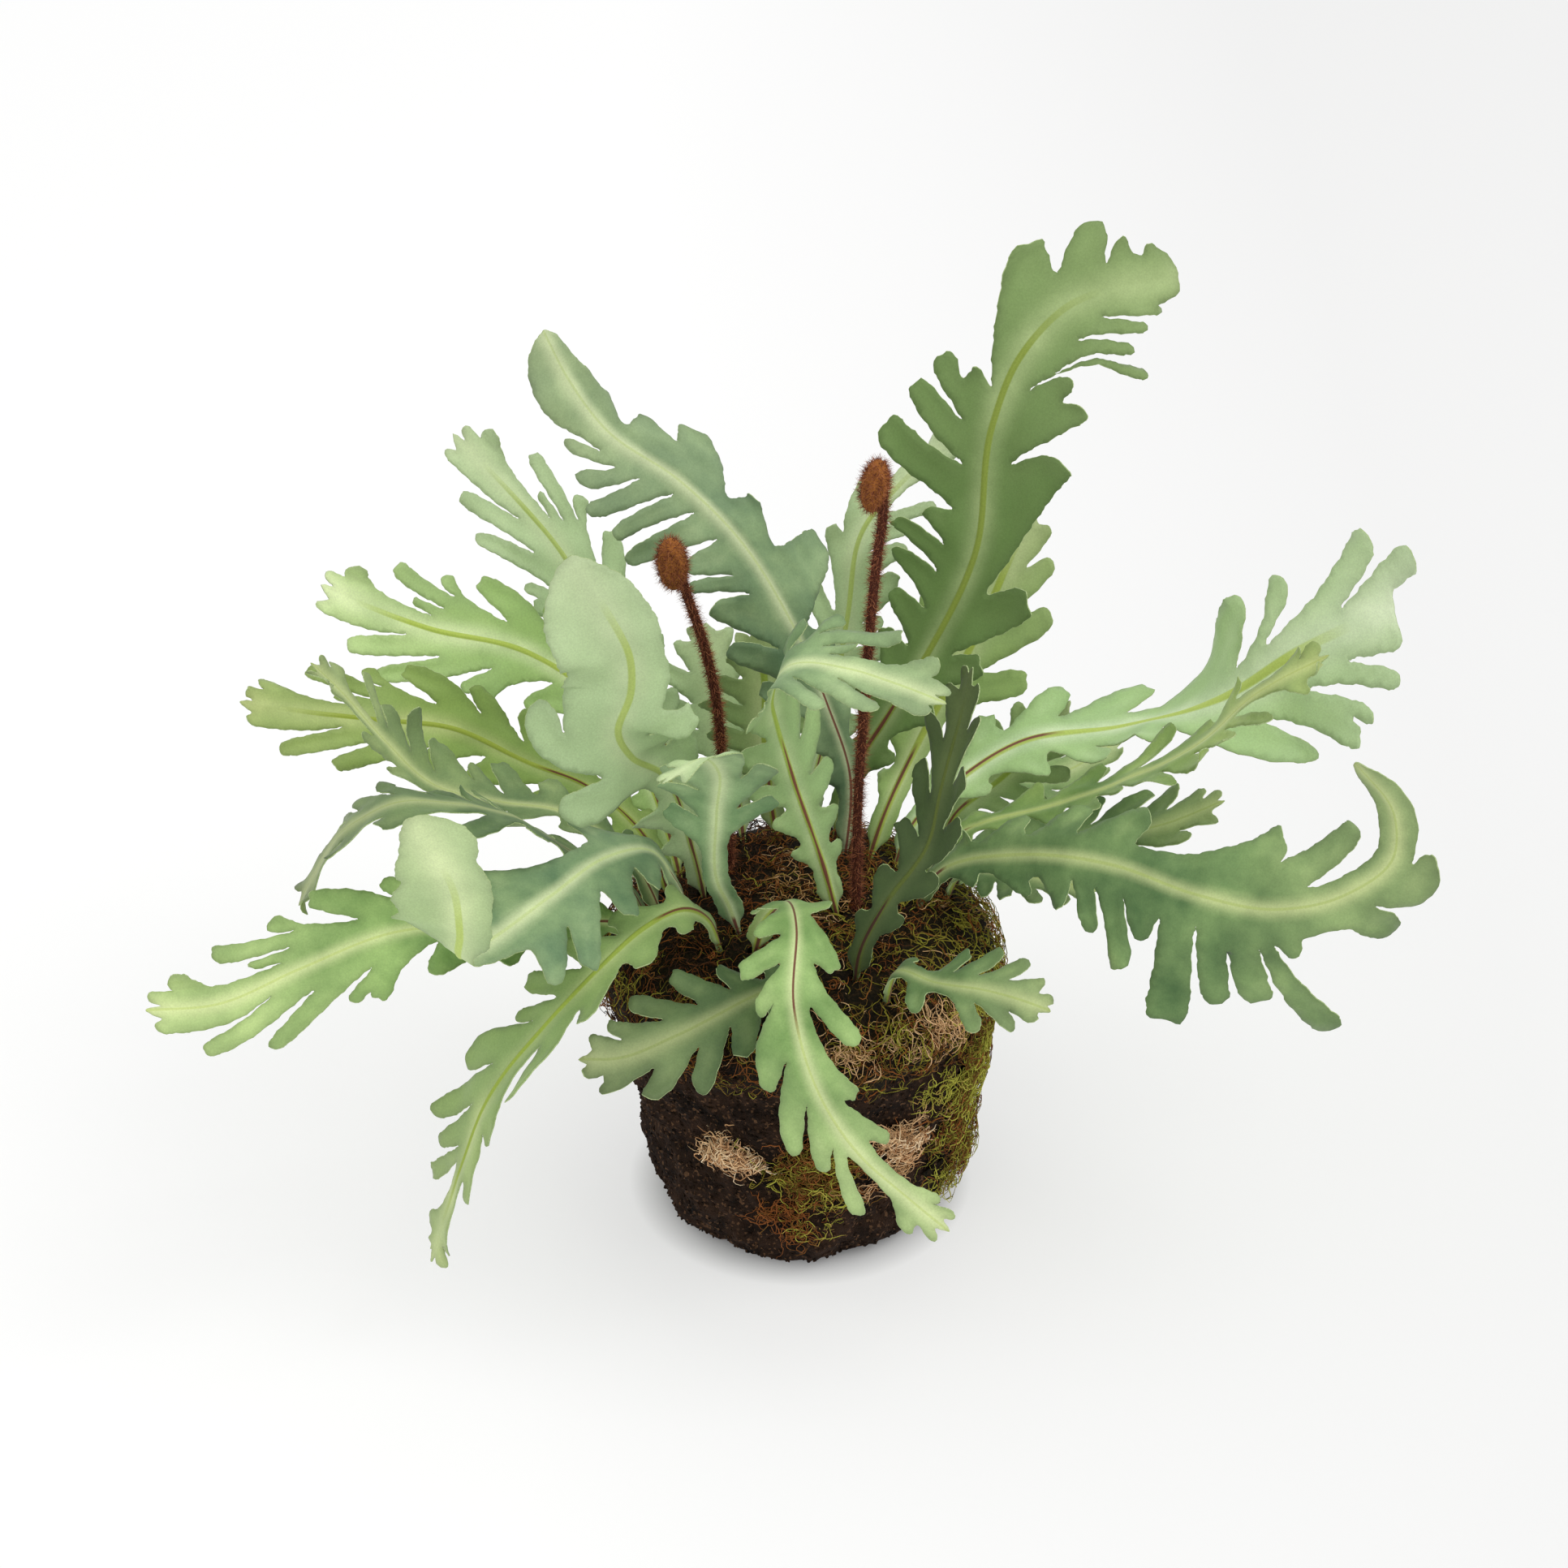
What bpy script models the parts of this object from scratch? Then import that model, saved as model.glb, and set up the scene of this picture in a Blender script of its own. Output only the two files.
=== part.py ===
# A drop-in fern: lobed fronds and two furry fiddleheads that stand in holes in a bare ball of soil,
# with a mat of moss on its crown and moss and wood fibre on its side. Blender works in metres, and the
# sizes below are in millimetres. The origin is under the middle of the ball, and the ball's front is -Y.

import bisect
import math
import random

import bmesh
import bpy
from mathutils import Matrix, Vector
from mathutils.geometry import delaunay_2d_cdt

MM = 0.001

# The soil ball, as rings of (radius, height) from the middle of its crown down to the flat underneath
SOIL_RINGS = (
    (0, 130), (16, 130), (31, 129), (45, 127), (57, 124), (67, 118), (72.5, 109), (72, 96),
    (69.5, 82), (66.5, 68), (62.5, 52), (62.5, 34), (60, 14), (54, 3), (48, 0), (0, 0),
)
SOIL_SIDES = 30
CROWN_RINGS = 7
SEAT_GAP = 0.35

# The stems: a flat wire-cored bar that stands in a round hole
STEM_DEPTH = 15.0
STEM_THICKNESS = 2.2
HOLE_WIDTH = 5.2
HOLE_SIDES = 6
HOLE_SPARE = 0.6
HOLE_ABOVE = 9.0
BLADE_THICKNESS = 0.7

# How a flat leaf is bent: it isn't stretched along its bare stem, its blade reaches its full width this
# far past the stem, and its cup and wave are measured this far out from the rib. A lobe's curl fades away
# beside it over this share of its width, and stops growing this share past its length. The rib is a
# ridge, which sinks into the blade by this share of the leaf's length.
BARE_STEM = 28.0
FULL_WIDTH_AFTER = 45.0
EDGE_AT = 30.0
CURL_SPREAD = 0.7
CURL_GROWS_TO = 1.2
WAVE_HEIGHT = 1.5
WAVE_LENGTH = 41.0
RIDGE_FROM = 25.0
RIDGE_SHARE = 0.6
RIDGE_HALF_WIDTH = 2.0
RIB_POINT_SPACING = 19.0
LAST_SPACING = 25.0
STEPS_BETWEEN_POINTS = 12

# The end of a lobe is round: the places of its points, as degrees from the way that it points
LOBE_END = (72, 0, -72)
NARROW_LOBE_END = (60, -60)
NARROW_LOBE = 6.5

# The nine leaves that the fronds are cut as, flat and at full size. Each side runs from the stem to the
# tip, as (place along the rib, distance from it) on a notch or a plain stretch of the edge, and as (place
# along the rib, distance from it, width) at the end of a lobe.
STEM_OUTLINE = ((0, 1.4), (22, 1.5), (28, 4.6))
FAN_LEAF = {
    "length": 243,
    "left": (
        (46, 5.2), (57, 11, 6), (61, 6), (78, 15, 7), (80, 7), (99, 21, 8), (95, 8), (131, 23, 8), (124, 7.5),
        (143, 19), (157, 30, 9), (160, 25), (167, 26, 6), (154, 13), (202, 29, 7), (178, 12), (222, 21.5, 8),
        (194, 6), (208, 9.5), (228, 11.5), (239, 8.5, 6), (236, 4.5),
    ),
    "right": (
        (42, 5), (52, 10, 6), (57, 5.8), (71, 14, 7), (75, 7), (93, 19, 8), (92, 8), (118, 24, 8), (111, 9),
        (141, 24, 7), (133, 12), (151, 25), (166, 28, 9), (152, 11), (172, 19), (184, 26, 7), (176, 17.5),
        (211, 22, 8), (180, 11), (197, 10.5, 3), (185, 6.5), (214, 9), (233, 12.5, 6), (231, 8.5), (241, 6, 5),
        (236, 2),
    ),
    "end": 1,
}
OPEN_LEAF = {
    "length": 243,
    "left": (
        (46, 5.2), (57, 11, 6), (62, 6), (80, 15, 8), (82, 7), (105, 20, 8), (101, 8.5), (130, 22, 9),
        (124, 9), (148, 17), (189, 20, 8), (173, 6), (192, 11), (207, 18.5, 7), (190, 6), (213, 10),
        (245, 17.5, 7), (222, 5), (257, 9, 7), (243, 3),
    ),
    "right": (
        (52, 5.4), (66, 12, 7), (70, 6.6), (92, 16, 8), (94, 8), (118, 19, 9), (112, 9), (146, 20, 9),
        (142, 9), (187, 26, 5), (176, 11), (212, 27, 8), (212, 21), (220, 23, 5), (198, 10), (214, 13),
        (233, 16.5, 5), (217, 7.5), (238, 9), (240, 4),
    ),
    "end": 2,
}
SPOON_LEAF = {
    "length": 270,
    "left": (
        (46, 5.4), (57, 11, 6), (62, 6.2), (80, 16, 8), (82, 8), (104, 22, 9), (99, 9), (127, 27, 10),
        (118, 10), (147, 26, 9), (143, 9.5), (161, 29, 5), (150, 8), (168, 25, 7), (167, 7), (187, 38, 7),
        (180, 6), (201, 34, 7), (190, 6), (213, 31.5, 5), (204, 8.5), (220, 23, 6), (213, 10), (222, 14.5),
        (229, 15.5, 5), (220, 8), (228, 10), (236, 14), (245, 16), (250, 15.5), (257, 13.5), (266, 8),
    ),
    "right": (
        (50, 5.6), (65, 13, 7), (70, 6.6), (90, 18, 9), (93, 8.5), (112, 24, 9), (120, 10), (140, 54, 14),
        (152, 18), (169, 28, 8), (175, 15), (184, 32), (197, 39, 16), (200, 22), (214, 27, 9), (219, 12),
        (232, 19), (237, 17), (246, 16), (251, 13.5), (260, 10), (266, 7),
    ),
    "end": 0,
}
SPADE_LEAF = {
    "length": 270,
    "left": (
        (50, 5.4), (64, 12, 7), (68, 6.4), (90, 18, 9), (92, 8), (118, 24, 10), (117, 10), (146, 29, 11),
        (145, 12), (174, 27, 10), (168, 17), (180, 20), (193, 21), (206, 19), (219, 20.5), (233, 19.5),
        (245, 18.5), (257, 15), (267, 9.5), (273, 5),
    ),
    "right": (
        (44, 5.2), (54, 11, 6), (60, 6.2), (78, 15, 8), (80, 7.6), (104, 20, 9), (102, 9.5), (130, 24, 10),
        (128, 12), (158, 27, 10), (156, 12), (190, 27, 10), (188, 14), (201, 15), (214, 13.5), (227, 15.5),
        (241, 14.5), (251, 13), (262, 9), (271, 4.5),
    ),
    "end": -6,
}
ROUND_LEAF = {
    "length": 270,
    "left": (
        (50, 5.4), (64, 12, 7), (68, 6.4), (90, 18, 9), (92, 8), (118, 24, 10), (117, 10), (148, 27, 10),
        (142, 12), (165, 23, 9), (164, 11), (180, 8), (196, 5.5), (203, 6.5), (210, 10), (225, 11),
        (241, 13), (248, 12.5), (256, 16), (267, 14), (274, 7),
    ),
    "right": (
        (44, 5.2), (54, 11, 6), (60, 6.2), (78, 15, 8), (80, 7.6), (104, 20, 9), (102, 9.5), (130, 24, 10),
        (128, 12), (158, 25, 10), (156, 12), (180, 9), (195, 5.5), (202, 13), (207, 19), (214, 21.5),
        (220, 19), (228, 20.5), (238, 18.5), (244, 15), (252, 14.5), (262, 9), (272, 4),
    ),
    "end": -6,
}
TALL_LEAF = {
    "length": 295,
    "left": (
        (46, 5.2), (59, 11, 6), (62, 6), (84, 16, 8), (84, 7.5), (107, 21, 8), (106, 8.5), (124, 25, 7),
        (124, 10), (143, 31, 7), (140, 12), (161, 34, 9), (153, 13), (170, 22, 7), (170, 12), (199, 40, 10),
        (189, 9), (212, 33, 8), (204, 12), (223, 27, 9), (218, 16), (224, 13, 4), (219, 5), (240, 16),
        (259, 27, 9), (260, 12.5), (274, 25.5, 9), (274, 9.5), (281, 17.5, 4), (284, 11), (290, 13, 7), (297, 6),
    ),
    "right": (
        (50, 5.4), (64, 12, 7), (70, 6.4), (92, 17, 9), (94, 8), (120, 23, 10), (114, 9), (150, 28, 13),
        (142, 10), (162, 16), (180, 26), (203, 33, 13), (192, 10), (214, 27), (229, 32, 9), (226, 22.5),
        (239, 21.5, 6), (224, 9), (279, 34, 4), (236, 14.5), (277, 23.5, 4), (253, 12.5), (284, 16.5, 3.5),
        (268, 9), (290, 11, 3.5), (291, 8.5), (296, 7),
    ),
    "end": -3,
}
BROAD_LEAF = {
    "length": 270,
    "left": (
        (46, 5.2), (57, 10, 6), (63, 6), (80, 14, 7), (84, 7), (104, 19, 8), (104, 9), (128, 22, 9),
        (126, 10), (146, 14), (164, 24), (187, 29, 16), (188, 20), (230, 24, 10), (196, 8), (216, 8),
        (236, 9), (246, 11), (256, 10), (266, 6),
    ),
    "right": (
        (50, 5.4), (64, 10, 6), (70, 6.4), (86, 13, 6), (90, 7.5), (104, 19, 6), (106, 8), (117, 25, 6),
        (116, 9.5), (136, 36, 9), (128, 10), (140, 23, 7), (144, 13), (152, 51, 11), (156, 12), (165, 41, 7),
        (167, 18), (175, 40, 8), (176.5, 17), (189, 57, 7.5), (181, 15), (187, 21, 5), (190, 14), (203, 14),
        (215, 25, 12), (215, 10.5), (234, 22, 13), (232, 9), (246, 11), (256, 10), (266, 6),
    ),
    "end": 0,
}
SLIM_LEAF = {
    "length": 235,
    "left": (
        (50, 5.4), (64, 12, 7), (68, 6), (88, 18, 8), (90, 7.5), (115, 20, 8), (112, 9), (148, 26, 9),
        (130, 7.5), (151, 11), (170, 15, 8), (168, 9), (194, 15, 6), (188, 8), (211, 6.5), (224, 9, 5),
        (222, 5), (232, 8, 5), (230, 3),
    ),
    "right": (
        (46, 5.2), (57, 11, 6), (62, 6), (80, 16, 7), (82, 6.5), (98, 20, 8), (100, 7.5), (118, 26, 8),
        (114, 6.5), (130, 18, 6), (126, 8), (141, 22), (156, 24, 8), (147, 9), (165, 23), (177, 25.5, 8),
        (164, 8), (188, 19.5, 6), (182, 8), (207, 23, 7), (188, 5), (210, 6), (223, 13, 7), (225, 7),
        (233, 8, 5), (230, 3),
    ),
    "end": 0,
}
SMALL_LEAF = {
    "length": 140,
    "left": (
        (38, 4.6), (47, 9, 5), (51, 5), (64, 14, 7), (65, 6), (83, 20, 8), (80, 7), (101, 23, 8), (94, 8),
        (118, 19, 7), (112, 8), (130, 11, 5), (129, 6), (137, 6, 5), (135, 2),
    ),
    "right": (
        (42, 4.8), (53, 11, 6), (57, 5.2), (72, 17, 8), (72, 6.5), (90, 23, 8), (86, 7.5), (110, 22, 8),
        (101, 8), (125, 14, 6), (119, 6.5), (134, 8, 5), (133, 3),
    ),
    "end": 2,
}

# The fronds. Each holds its leaf, the place of its root on the soil, the points that its rib passes
# above the soil, the way that its upper side faces as (share of its length, direction), how wide its
# blade is at its stem and at its tip beside the full-size leaf, how wide its left and right sides are
# beside that, how far its edges cup and its lobes curl, the folds that need more points as places along
# the leaf, and the lobes that it lacks.
FRONDS = {
    "frond_tall_right": {
        "leaf": TALL_LEAF, "root": (13, 50), "width": (0.9, 1), "cup": 4, "curl": 5,
        "rib": ((19, 51, 155), (34, 50, 186), (50, 48, 218), (65, 46, 259), (70, 48, 312), (79, 50, 338),
                (95, 54, 356), (133, 60, 366)),
        "faces": ((0, -0.3, -0.9, 0.3), (0.6, -0.3, -0.9, 0.35), (1, -0.1, -0.85, 0.5)),
    },
    "frond_behind_right": {
        "leaf": SMALL_LEAF, "root": (26, 32), "width": (1.15, 1.15), "cup": 3, "curl": 4,
        "lacks": ("right0", "right1"),
        "rib": ((31, 37, 143), (47, 60, 169), (67, 78, 201), (83, 92, 236), (92, 98, 254)),
        "faces": ((0, -0.4, -0.8, 0.4), (1, -0.4, -0.8, 0.4)),
    },
    "frond_tall_left": {
        "leaf": SPOON_LEAF, "root": (17, 37), "width": (0.9, 0.85), "sides": (1.05, 0.6), "cup": -4, "curl": 5,
        "rib": ((19, 36, 165), (10, 32, 201), (-4, 32, 238), (-24, 36, 272), (-45, 42, 292),
                (-71, 48, 309), (-85, 46, 332), (-93, 42, 353)),
        "faces": ((0, 0.2, -0.9, 0.3), (0.5, 0.2, -0.8, 0.55), (1, 0.2, -0.8, 0.5)),
    },
    "frond_high_left": {
        "leaf": FAN_LEAF, "root": (-33, 34), "width": (0.75, 0.75), "cup": 3, "curl": 4,
        "rib": ((-39, 41, 144), (-52, 58, 164), (-73, 82, 196), (-93, 96, 231), (-113, 102, 255),
                (-134, 106, 278)),
        "faces": ((0, 0.3, -0.8, 0.5), (1, 0.3, -0.75, 0.55)),
    },
    "frond_back_pale": {
        "leaf": SMALL_LEAF, "root": (-22, 46), "width": (1.1, 1.1), "cup": 3, "curl": 3,
        "rib": ((-25, 57, 145), (-32, 72, 163), (-35, 84, 185), (-37, 92, 203)),
        "faces": ((0, 0.2, -0.95, 0.3), (1, 0.1, -0.95, 0.3)),
    },
    "frond_back_green": {
        "leaf": SMALL_LEAF, "root": (-9, 50), "width": (1.1, 1.1), "cup": 3, "curl": 4,
        "rib": ((-12, 52, 148), (-14, 55, 172), (-14, 59, 195), (-18, 63, 217)),
        "faces": ((0, 0, -0.9, 0.4), (1, 0.2, -0.9, 0.4)),
    },
    "frond_spoon_left": {
        "leaf": SPADE_LEAF, "root": (-37, 8), "width": (0.9, 1.3), "sides": (1.0, 0.75), "cup": 4, "curl": 4,
        "lacks": ("left2",),
        "rib": ((-41, -2, 158), (-51, -16, 201), (-62, -29, 217), (-66, -36, 232), (-61, -37, 249),
                (-61, -38, 264), (-68, -40, 283), (-79, -42, 304)),
        "faces": ((0, 0.3, -0.9, 0.2), (0.5, 0.1, -0.95, 0.2), (1, 0, -0.95, 0.3)),
        "folds": (150, 160, 170, 180),
    },
    "frond_upper_left": {
        "leaf": FAN_LEAF, "root": (-46, 20), "width": (0.8, 0.8), "cup": 4, "curl": 4,
        "rib": ((-51, 29, 144), (-63, 46, 169), (-77, 56, 187), (-105, 62, 206), (-142, 58, 219),
                (-166, 48, 236), (-180, 40, 249)),
        "faces": ((0, 0.3, -0.8, 0.5), (0.5, 0.1, -0.8, 0.6), (1, 0.1, -0.75, 0.65)),
    },
    "frond_mid_left": {
        "leaf": FAN_LEAF, "root": (-50, 10), "width": (0.72, 0.72), "cup": 4, "curl": 4,
        "rib": ((-58, 18, 147), (-83, 32, 165), (-103, 34, 173), (-132, 28, 193), (-159, 18, 203),
                (-184, 6, 214), (-207, -6, 226)),
        "faces": ((0, 0.3, -0.7, 0.6), (0.5, 0.05, -0.75, 0.65), (1, 0.05, -0.7, 0.7)),
    },
    "frond_arched_left": {
        "leaf": SLIM_LEAF, "root": (-53, -2), "width": (0.9, 0.55), "sides": (0.65, 1.0), "cup": 6, "curl": 6,
        "rib": ((-62, -3, 150), (-90, -5, 177), (-113, -6, 182), (-135, -11, 192), (-152, -17, 215),
                (-166, -23, 240), (-176, -28, 256)),
        "faces": ((0, 0.4, -0.4, 0.9), (0.5, 0.2, -0.2, 0.95), (1, 0.5, -0.6, 0.6)),
    },
    "frond_drooping_left": {
        "leaf": SLIM_LEAF, "root": (-57, -11), "width": (0.75, 0.8), "cup": -5, "curl": 5,
        "rib": ((-64, -14, 147), (-87, -27, 175), (-107, -42, 200), (-124, -53, 212), (-145, -62, 218),
                (-162, -60, 207), (-177, -53, 181), (-184, -49, 165)),
        "faces": ((0, 0.2, -0.3, 0.9), (0.5, 0, 0.1, 1), (1, -0.7, -0.2, 0.7)),
    },
    "frond_long_left": {
        "leaf": FAN_LEAF, "root": (-58, -20), "width": (0.78, 0.78), "cup": 4, "curl": 4,
        "rib": ((-67, -25, 139), (-90, -40, 150), (-115, -54, 159), (-148, -71, 168), (-181, -84, 161),
                (-209, -94, 153), (-235, -102, 156)),
        "faces": ((0, 0.2, -0.5, 0.8), (0.5, 0, -0.65, 0.75), (1, 0, -0.65, 0.75)),
    },
    "frond_folded_left": {
        "leaf": ROUND_LEAF, "root": (-42, -9), "width": (0.95, 1.2), "cup": -4, "curl": 6,
        "lacks": ("right0", "right1", "right3"),
        "rib": ((-47, -15, 152), (-56, -24, 172), (-72, -42, 181), (-91, -64, 179), (-111, -88, 177),
                (-121, -100, 178), (-120, -106, 192), (-121, -108, 211), (-133, -110, 239)),
        "faces": ((0, 0.5, 0, 0.8), (0.2, 0.3, -0.2, 0.9), (0.6, 0, -0.45, 0.9), (0.72, 0.4, 0.2, 0.8),
                  (0.8, 0.3, 0.9, 0.1), (1, 0.2, 0.95, 0)),
        "folds": (180, 190, 200, 210),
    },
    "frond_hanging_left": {
        "leaf": SLIM_LEAF, "root": (-30, -28), "width": (0.8, 0.8), "cup": 7, "curl": 4,
        "rib": ((-35, -33, 147), (-44, -45, 160), (-57, -59, 162), (-74, -75, 154), (-92, -88, 140),
                (-112, -98, 117), (-125, -103, 84), (-134, -101, 53), (-138, -99, 38)),
        "faces": ((0, 0.1, 0.1, 0.9), (0.2, 0.1, -0.5, 0.85), (0.5, -0.5, -0.3, 0.8),
                  (0.75, -0.8, -0.3, 0.4), (1, -0.85, -0.4, 0.2)),
    },
    "frond_front": {
        "leaf": SLIM_LEAF, "root": (-18, -30), "width": (0.75, 0.75), "cup": -4, "curl": 4,
        "rib": ((-13, -41, 154), (-5, -60, 174), (-2, -86, 180), (-3, -112, 165), (4, -124, 141),
                (21, -130, 112), (36, -132, 97), (53, -134, 81)),
        "faces": ((0, 0.2, 0.8, 0.6), (0.2, 0, 0.5, 0.9), (0.35, 0, -0.4, 0.9), (0.6, -0.1, -0.95, 0.4),
                  (1, -0.1, -0.9, 0.5)),
    },
    "frond_small_front_left": {
        "leaf": SMALL_LEAF, "root": (8, -52), "width": (1, 1), "cup": -2, "curl": 3,
        "rib": ((3, -62, 142), (-16, -80, 147), (-45, -94, 139), (-66, -101, 134), (-82, -104, 136)),
        "faces": ((0, 0.5, 0.3, 0.7), (0.3, 0.2, -0.2, 1), (1, -0.1, -0.5, 0.8)),
    },
    "frond_small_front_right": {
        "leaf": SMALL_LEAF, "root": (31, -52), "width": (0.65, 0.85), "cup": 3, "curl": 5,
        "lacks": ("left1", "right0", "right2"),
        "rib": ((35, -60, 143), (49, -77, 150), (66, -90, 156), (78, -97, 157), (90, -102, 155)),
        "faces": ((0, -0.4, 0.3, 0.7), (0.4, -0.1, -0.3, 0.9), (1, 0, -0.4, 0.9)),
    },
    "frond_upright_right": {
        "leaf": SMALL_LEAF, "root": (20, -44), "width": (0.45, 0.75), "cup": 4, "curl": 4,
        "rib": ((22, -49, 145), (31, -53, 169), (46, -51, 194), (50, -46, 213), (56, -42, 239),
                (61, -38, 263)),
        "faces": ((0, -0.3, -0.9, 0.2), (0.4, -0.5, -0.8, 0.2), (0.7, -0.8, -0.5, 0.2),
                  (1, -0.8, -0.5, 0.2)),
    },
    "frond_upright_left": {
        "leaf": SMALL_LEAF, "root": (-23, -18), "width": (0.9, 0.95), "cup": 3, "curl": 5,
        "lacks": ("left0", "left1", "right0", "right1"),
        "rib": ((-27, -22, 146), (-31, -28, 160), (-31, -40, 199), (-30, -50, 224), (-36, -62, 237),
                (-51, -76, 234)),
        "faces": ((0, 0, -0.95, 0.2), (0.6, 0, -0.95, 0.2), (0.8, 0.1, -0.6, -0.7), (1, 0.2, -0.2, -0.95)),
    },
    "frond_bent_over": {
        "leaf": FAN_LEAF, "root": (14, -8), "width": (0.85, 0.85), "cup": -3, "curl": 4,
        "rib": ((9, -10, 153), (-3, -16, 198), (-9, -22, 225), (-11, -27, 240), (-5, -34, 258),
                (18, -48, 265), (31, -56, 265), (51, -66, 262)),
        "faces": ((0, 0, -0.95, 0.2), (0.4, 0.3, -0.9, 0.2), (0.53, 0.75, -0.6, 0.1),
                  (0.62, 0.6, 0, -0.7), (0.7, 0, 0.2, -0.95), (1, 0, 0.3, -0.95)),
        "folds": (124, 132, 140, 148, 156),
    },
    "frond_long_right": {
        "leaf": OPEN_LEAF, "root": (36, 28), "width": (0.85, 1.6), "cup": 4, "curl": 4,
        "rib": ((43, 33, 145), (59, 41, 159), (85, 51, 172), (123, 54, 177), (158, 44, 195),
                (187, 32, 225), (220, 20, 252)),
        "faces": ((0, -0.5, -0.7, 0.5), (0.35, -0.3, -0.4, 0.9), (0.55, -0.2, 0.3, 0.9),
                  (0.75, -0.2, -0.7, 0.6), (1, -0.2, -0.8, 0.5)),
    },
    "frond_mid_right": {
        "leaf": SLIM_LEAF, "root": (41, 14), "width": (0.7, 0.78), "cup": 4, "curl": 5,
        "rib": ((52, 13, 149), (70, 12, 161), (93, 10, 169), (118, 5, 183), (146, -5, 206),
                (167, -12, 234), (190, -18, 253)),
        "faces": ((0, -0.5, -0.3, 0.8), (0.5, -0.1, 0.1, 0.95), (1, -0.3, -0.2, 0.9)),
    },
    "frond_broad_right": {
        "leaf": BROAD_LEAF, "root": (44, 2), "width": (1.25, 0.7), "cup": -7, "curl": 5,
        "rib": ((52, -6, 150), (80, -28, 173), (115, -52, 184), (141, -68, 183), (168, -82, 186),
                (192, -90, 198), (207, -92, 215), (206, -89, 232), (192, -83, 249)),
        "faces": ((0, -0.4, -0.3, 0.8), (0.3, -0.1, -0.7, 0.7), (0.6, 0, -0.85, 0.5),
                  (0.82, -0.4, -0.8, 0.2), (1, -0.75, -0.5, -0.2)),
        "folds": (205, 215, 225, 235),
    },
    "frond_ribbed_right": {
        "leaf": SMALL_LEAF, "root": (49, 22), "width": (1.1, 0.8), "cup": 3, "curl": 4,
        "rib": ((58, 24, 138), (80, 26, 141), (106, 24, 145), (135, 9, 161), (160, -1, 180)),
        "faces": ((0, -0.4, 0, 0.9), (1, -0.3, -0.3, 0.9)),
    },
    "frond_low_right": {
        "leaf": SMALL_LEAF, "root": (55, 10), "width": (0.8, 0.8), "cup": 2, "curl": 3,
        "rib": ((60, 5, 141), (76, -6, 150), (94, -16, 153), (112, -24, 154)),
        "faces": ((0, -0.4, 0.1, 0.9), (1, 0.1, -0.1, 1)),
    },
    "frond_back_tall": {
        "leaf": SLIM_LEAF, "root": (2, 49), "width": (0.75, 0.75), "cup": 3, "curl": 4,
        "rib": ((5, 56, 149), (12, 69, 174), (18, 82, 209), (25, 92, 245), (37, 100, 257), (58, 108, 274)),
        "faces": ((0, -0.1, -0.95, 0.3), (1, -0.3, -0.8, 0.5)),
    },
    "frond_far_right": {
        "leaf": SMALL_LEAF, "root": (44, 44), "width": (0.9, 0.9), "cup": 3, "curl": 3,
        "rib": ((51, 57, 141), (72, 80, 138), (101, 92, 130), (132, 104, 142)),
        "faces": ((0, -0.3, -0.3, 0.9), (1, 0, -0.2, 1)),
    },
    "frond_back_right": {
        "leaf": SMALL_LEAF, "root": (52, 34), "width": (0.9, 0.9), "cup": 3, "curl": 4,
        "rib": ((59, 44, 141), (79, 63, 148), (93, 70, 160), (106, 74, 178)),
        "faces": ((0, -0.4, -0.5, 0.7), (1, -0.3, -0.7, 0.6)),
    },
}


# The fronds whose cloth is the paler, yellower green
PALE_FRONDS = (
    "frond_high_left", "frond_back_pale", "frond_spoon_left", "frond_upper_left", "frond_mid_left",
    "frond_long_left", "frond_long_right", "frond_mid_right", "frond_behind_right", "frond_back_tall",
)

# The fiddleheads: a bare furry stalk with a rolled-up head that hangs to one side of its top
STALK_RADIUS = 1.8
STALK_POINT_EVERY = 3
HEAD_COILS = 1.6
COIL_RELIEF = 0.12
FIDDLEHEADS = {
    "fiddlehead_tall": {
        "root": (21, -4),
        "stalk": ((21, -4, 176), (23, -2, 221), (27, 2, 281), (29, 3, 300), (29, 3, 307)),
        "head": (26, 3, 311), "size": (5.0, 4.4, 10.6), "tilt": 8,
    },
    "fiddlehead_short": {
        "root": (-27, 22),
        "stalk": ((-30, 21, 185), (-32, 16, 215), (-38, 12, 247), (-42, 10, 262), (-44, 9, 271)),
        "head": (-47, 8, 276), "size": (5.4, 4.6, 10.6), "tilt": -4,
    },
}


def lobes_of(leaf, side):
    """Each lobe of one side: the middle of its base, the way that it points, its length and its width."""
    places, lobes = leaf[side], []
    for number, place in enumerate(places):
        if len(place) == 3:
            behind = next(Vector(other) for other in reversed(places[:number]) if len(other) == 2)
            before = next(Vector(other) for other in places[number + 1:] if len(other) == 2)
            base = (behind + before) / 2
            away = Vector(place[:2]) - base
            lobes.append((base, away.normalized(), away.length, place[2]))
    return lobes


def lobe_end(base, axis, length, width):
    """The points round the end of one lobe."""
    across = Vector((-axis.y, axis.x))
    tip = base + axis * length
    angles = [math.radians(angle) for angle in (LOBE_END if width > NARROW_LOBE else NARROW_LOBE_END)]
    return [tip + (axis * (math.cos(a) - 1) + across * math.sin(a)) * width / 2 for a in angles]


def side_outline(leaf, side, lacks):
    """One side of the flat leaf from the root to the tip, as (place along the rib, distance from it)."""
    points = [Vector(place) for place in STEM_OUTLINE]
    lobes = enumerate(lobes_of(leaf, side))
    for place in leaf[side]:
        if len(place) == 2:
            points.append(Vector(place))
            continue
        number, lobe = next(lobes)
        if side + str(number) not in lacks:
            points.extend(lobe_end(*lobe))
    return points


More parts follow.
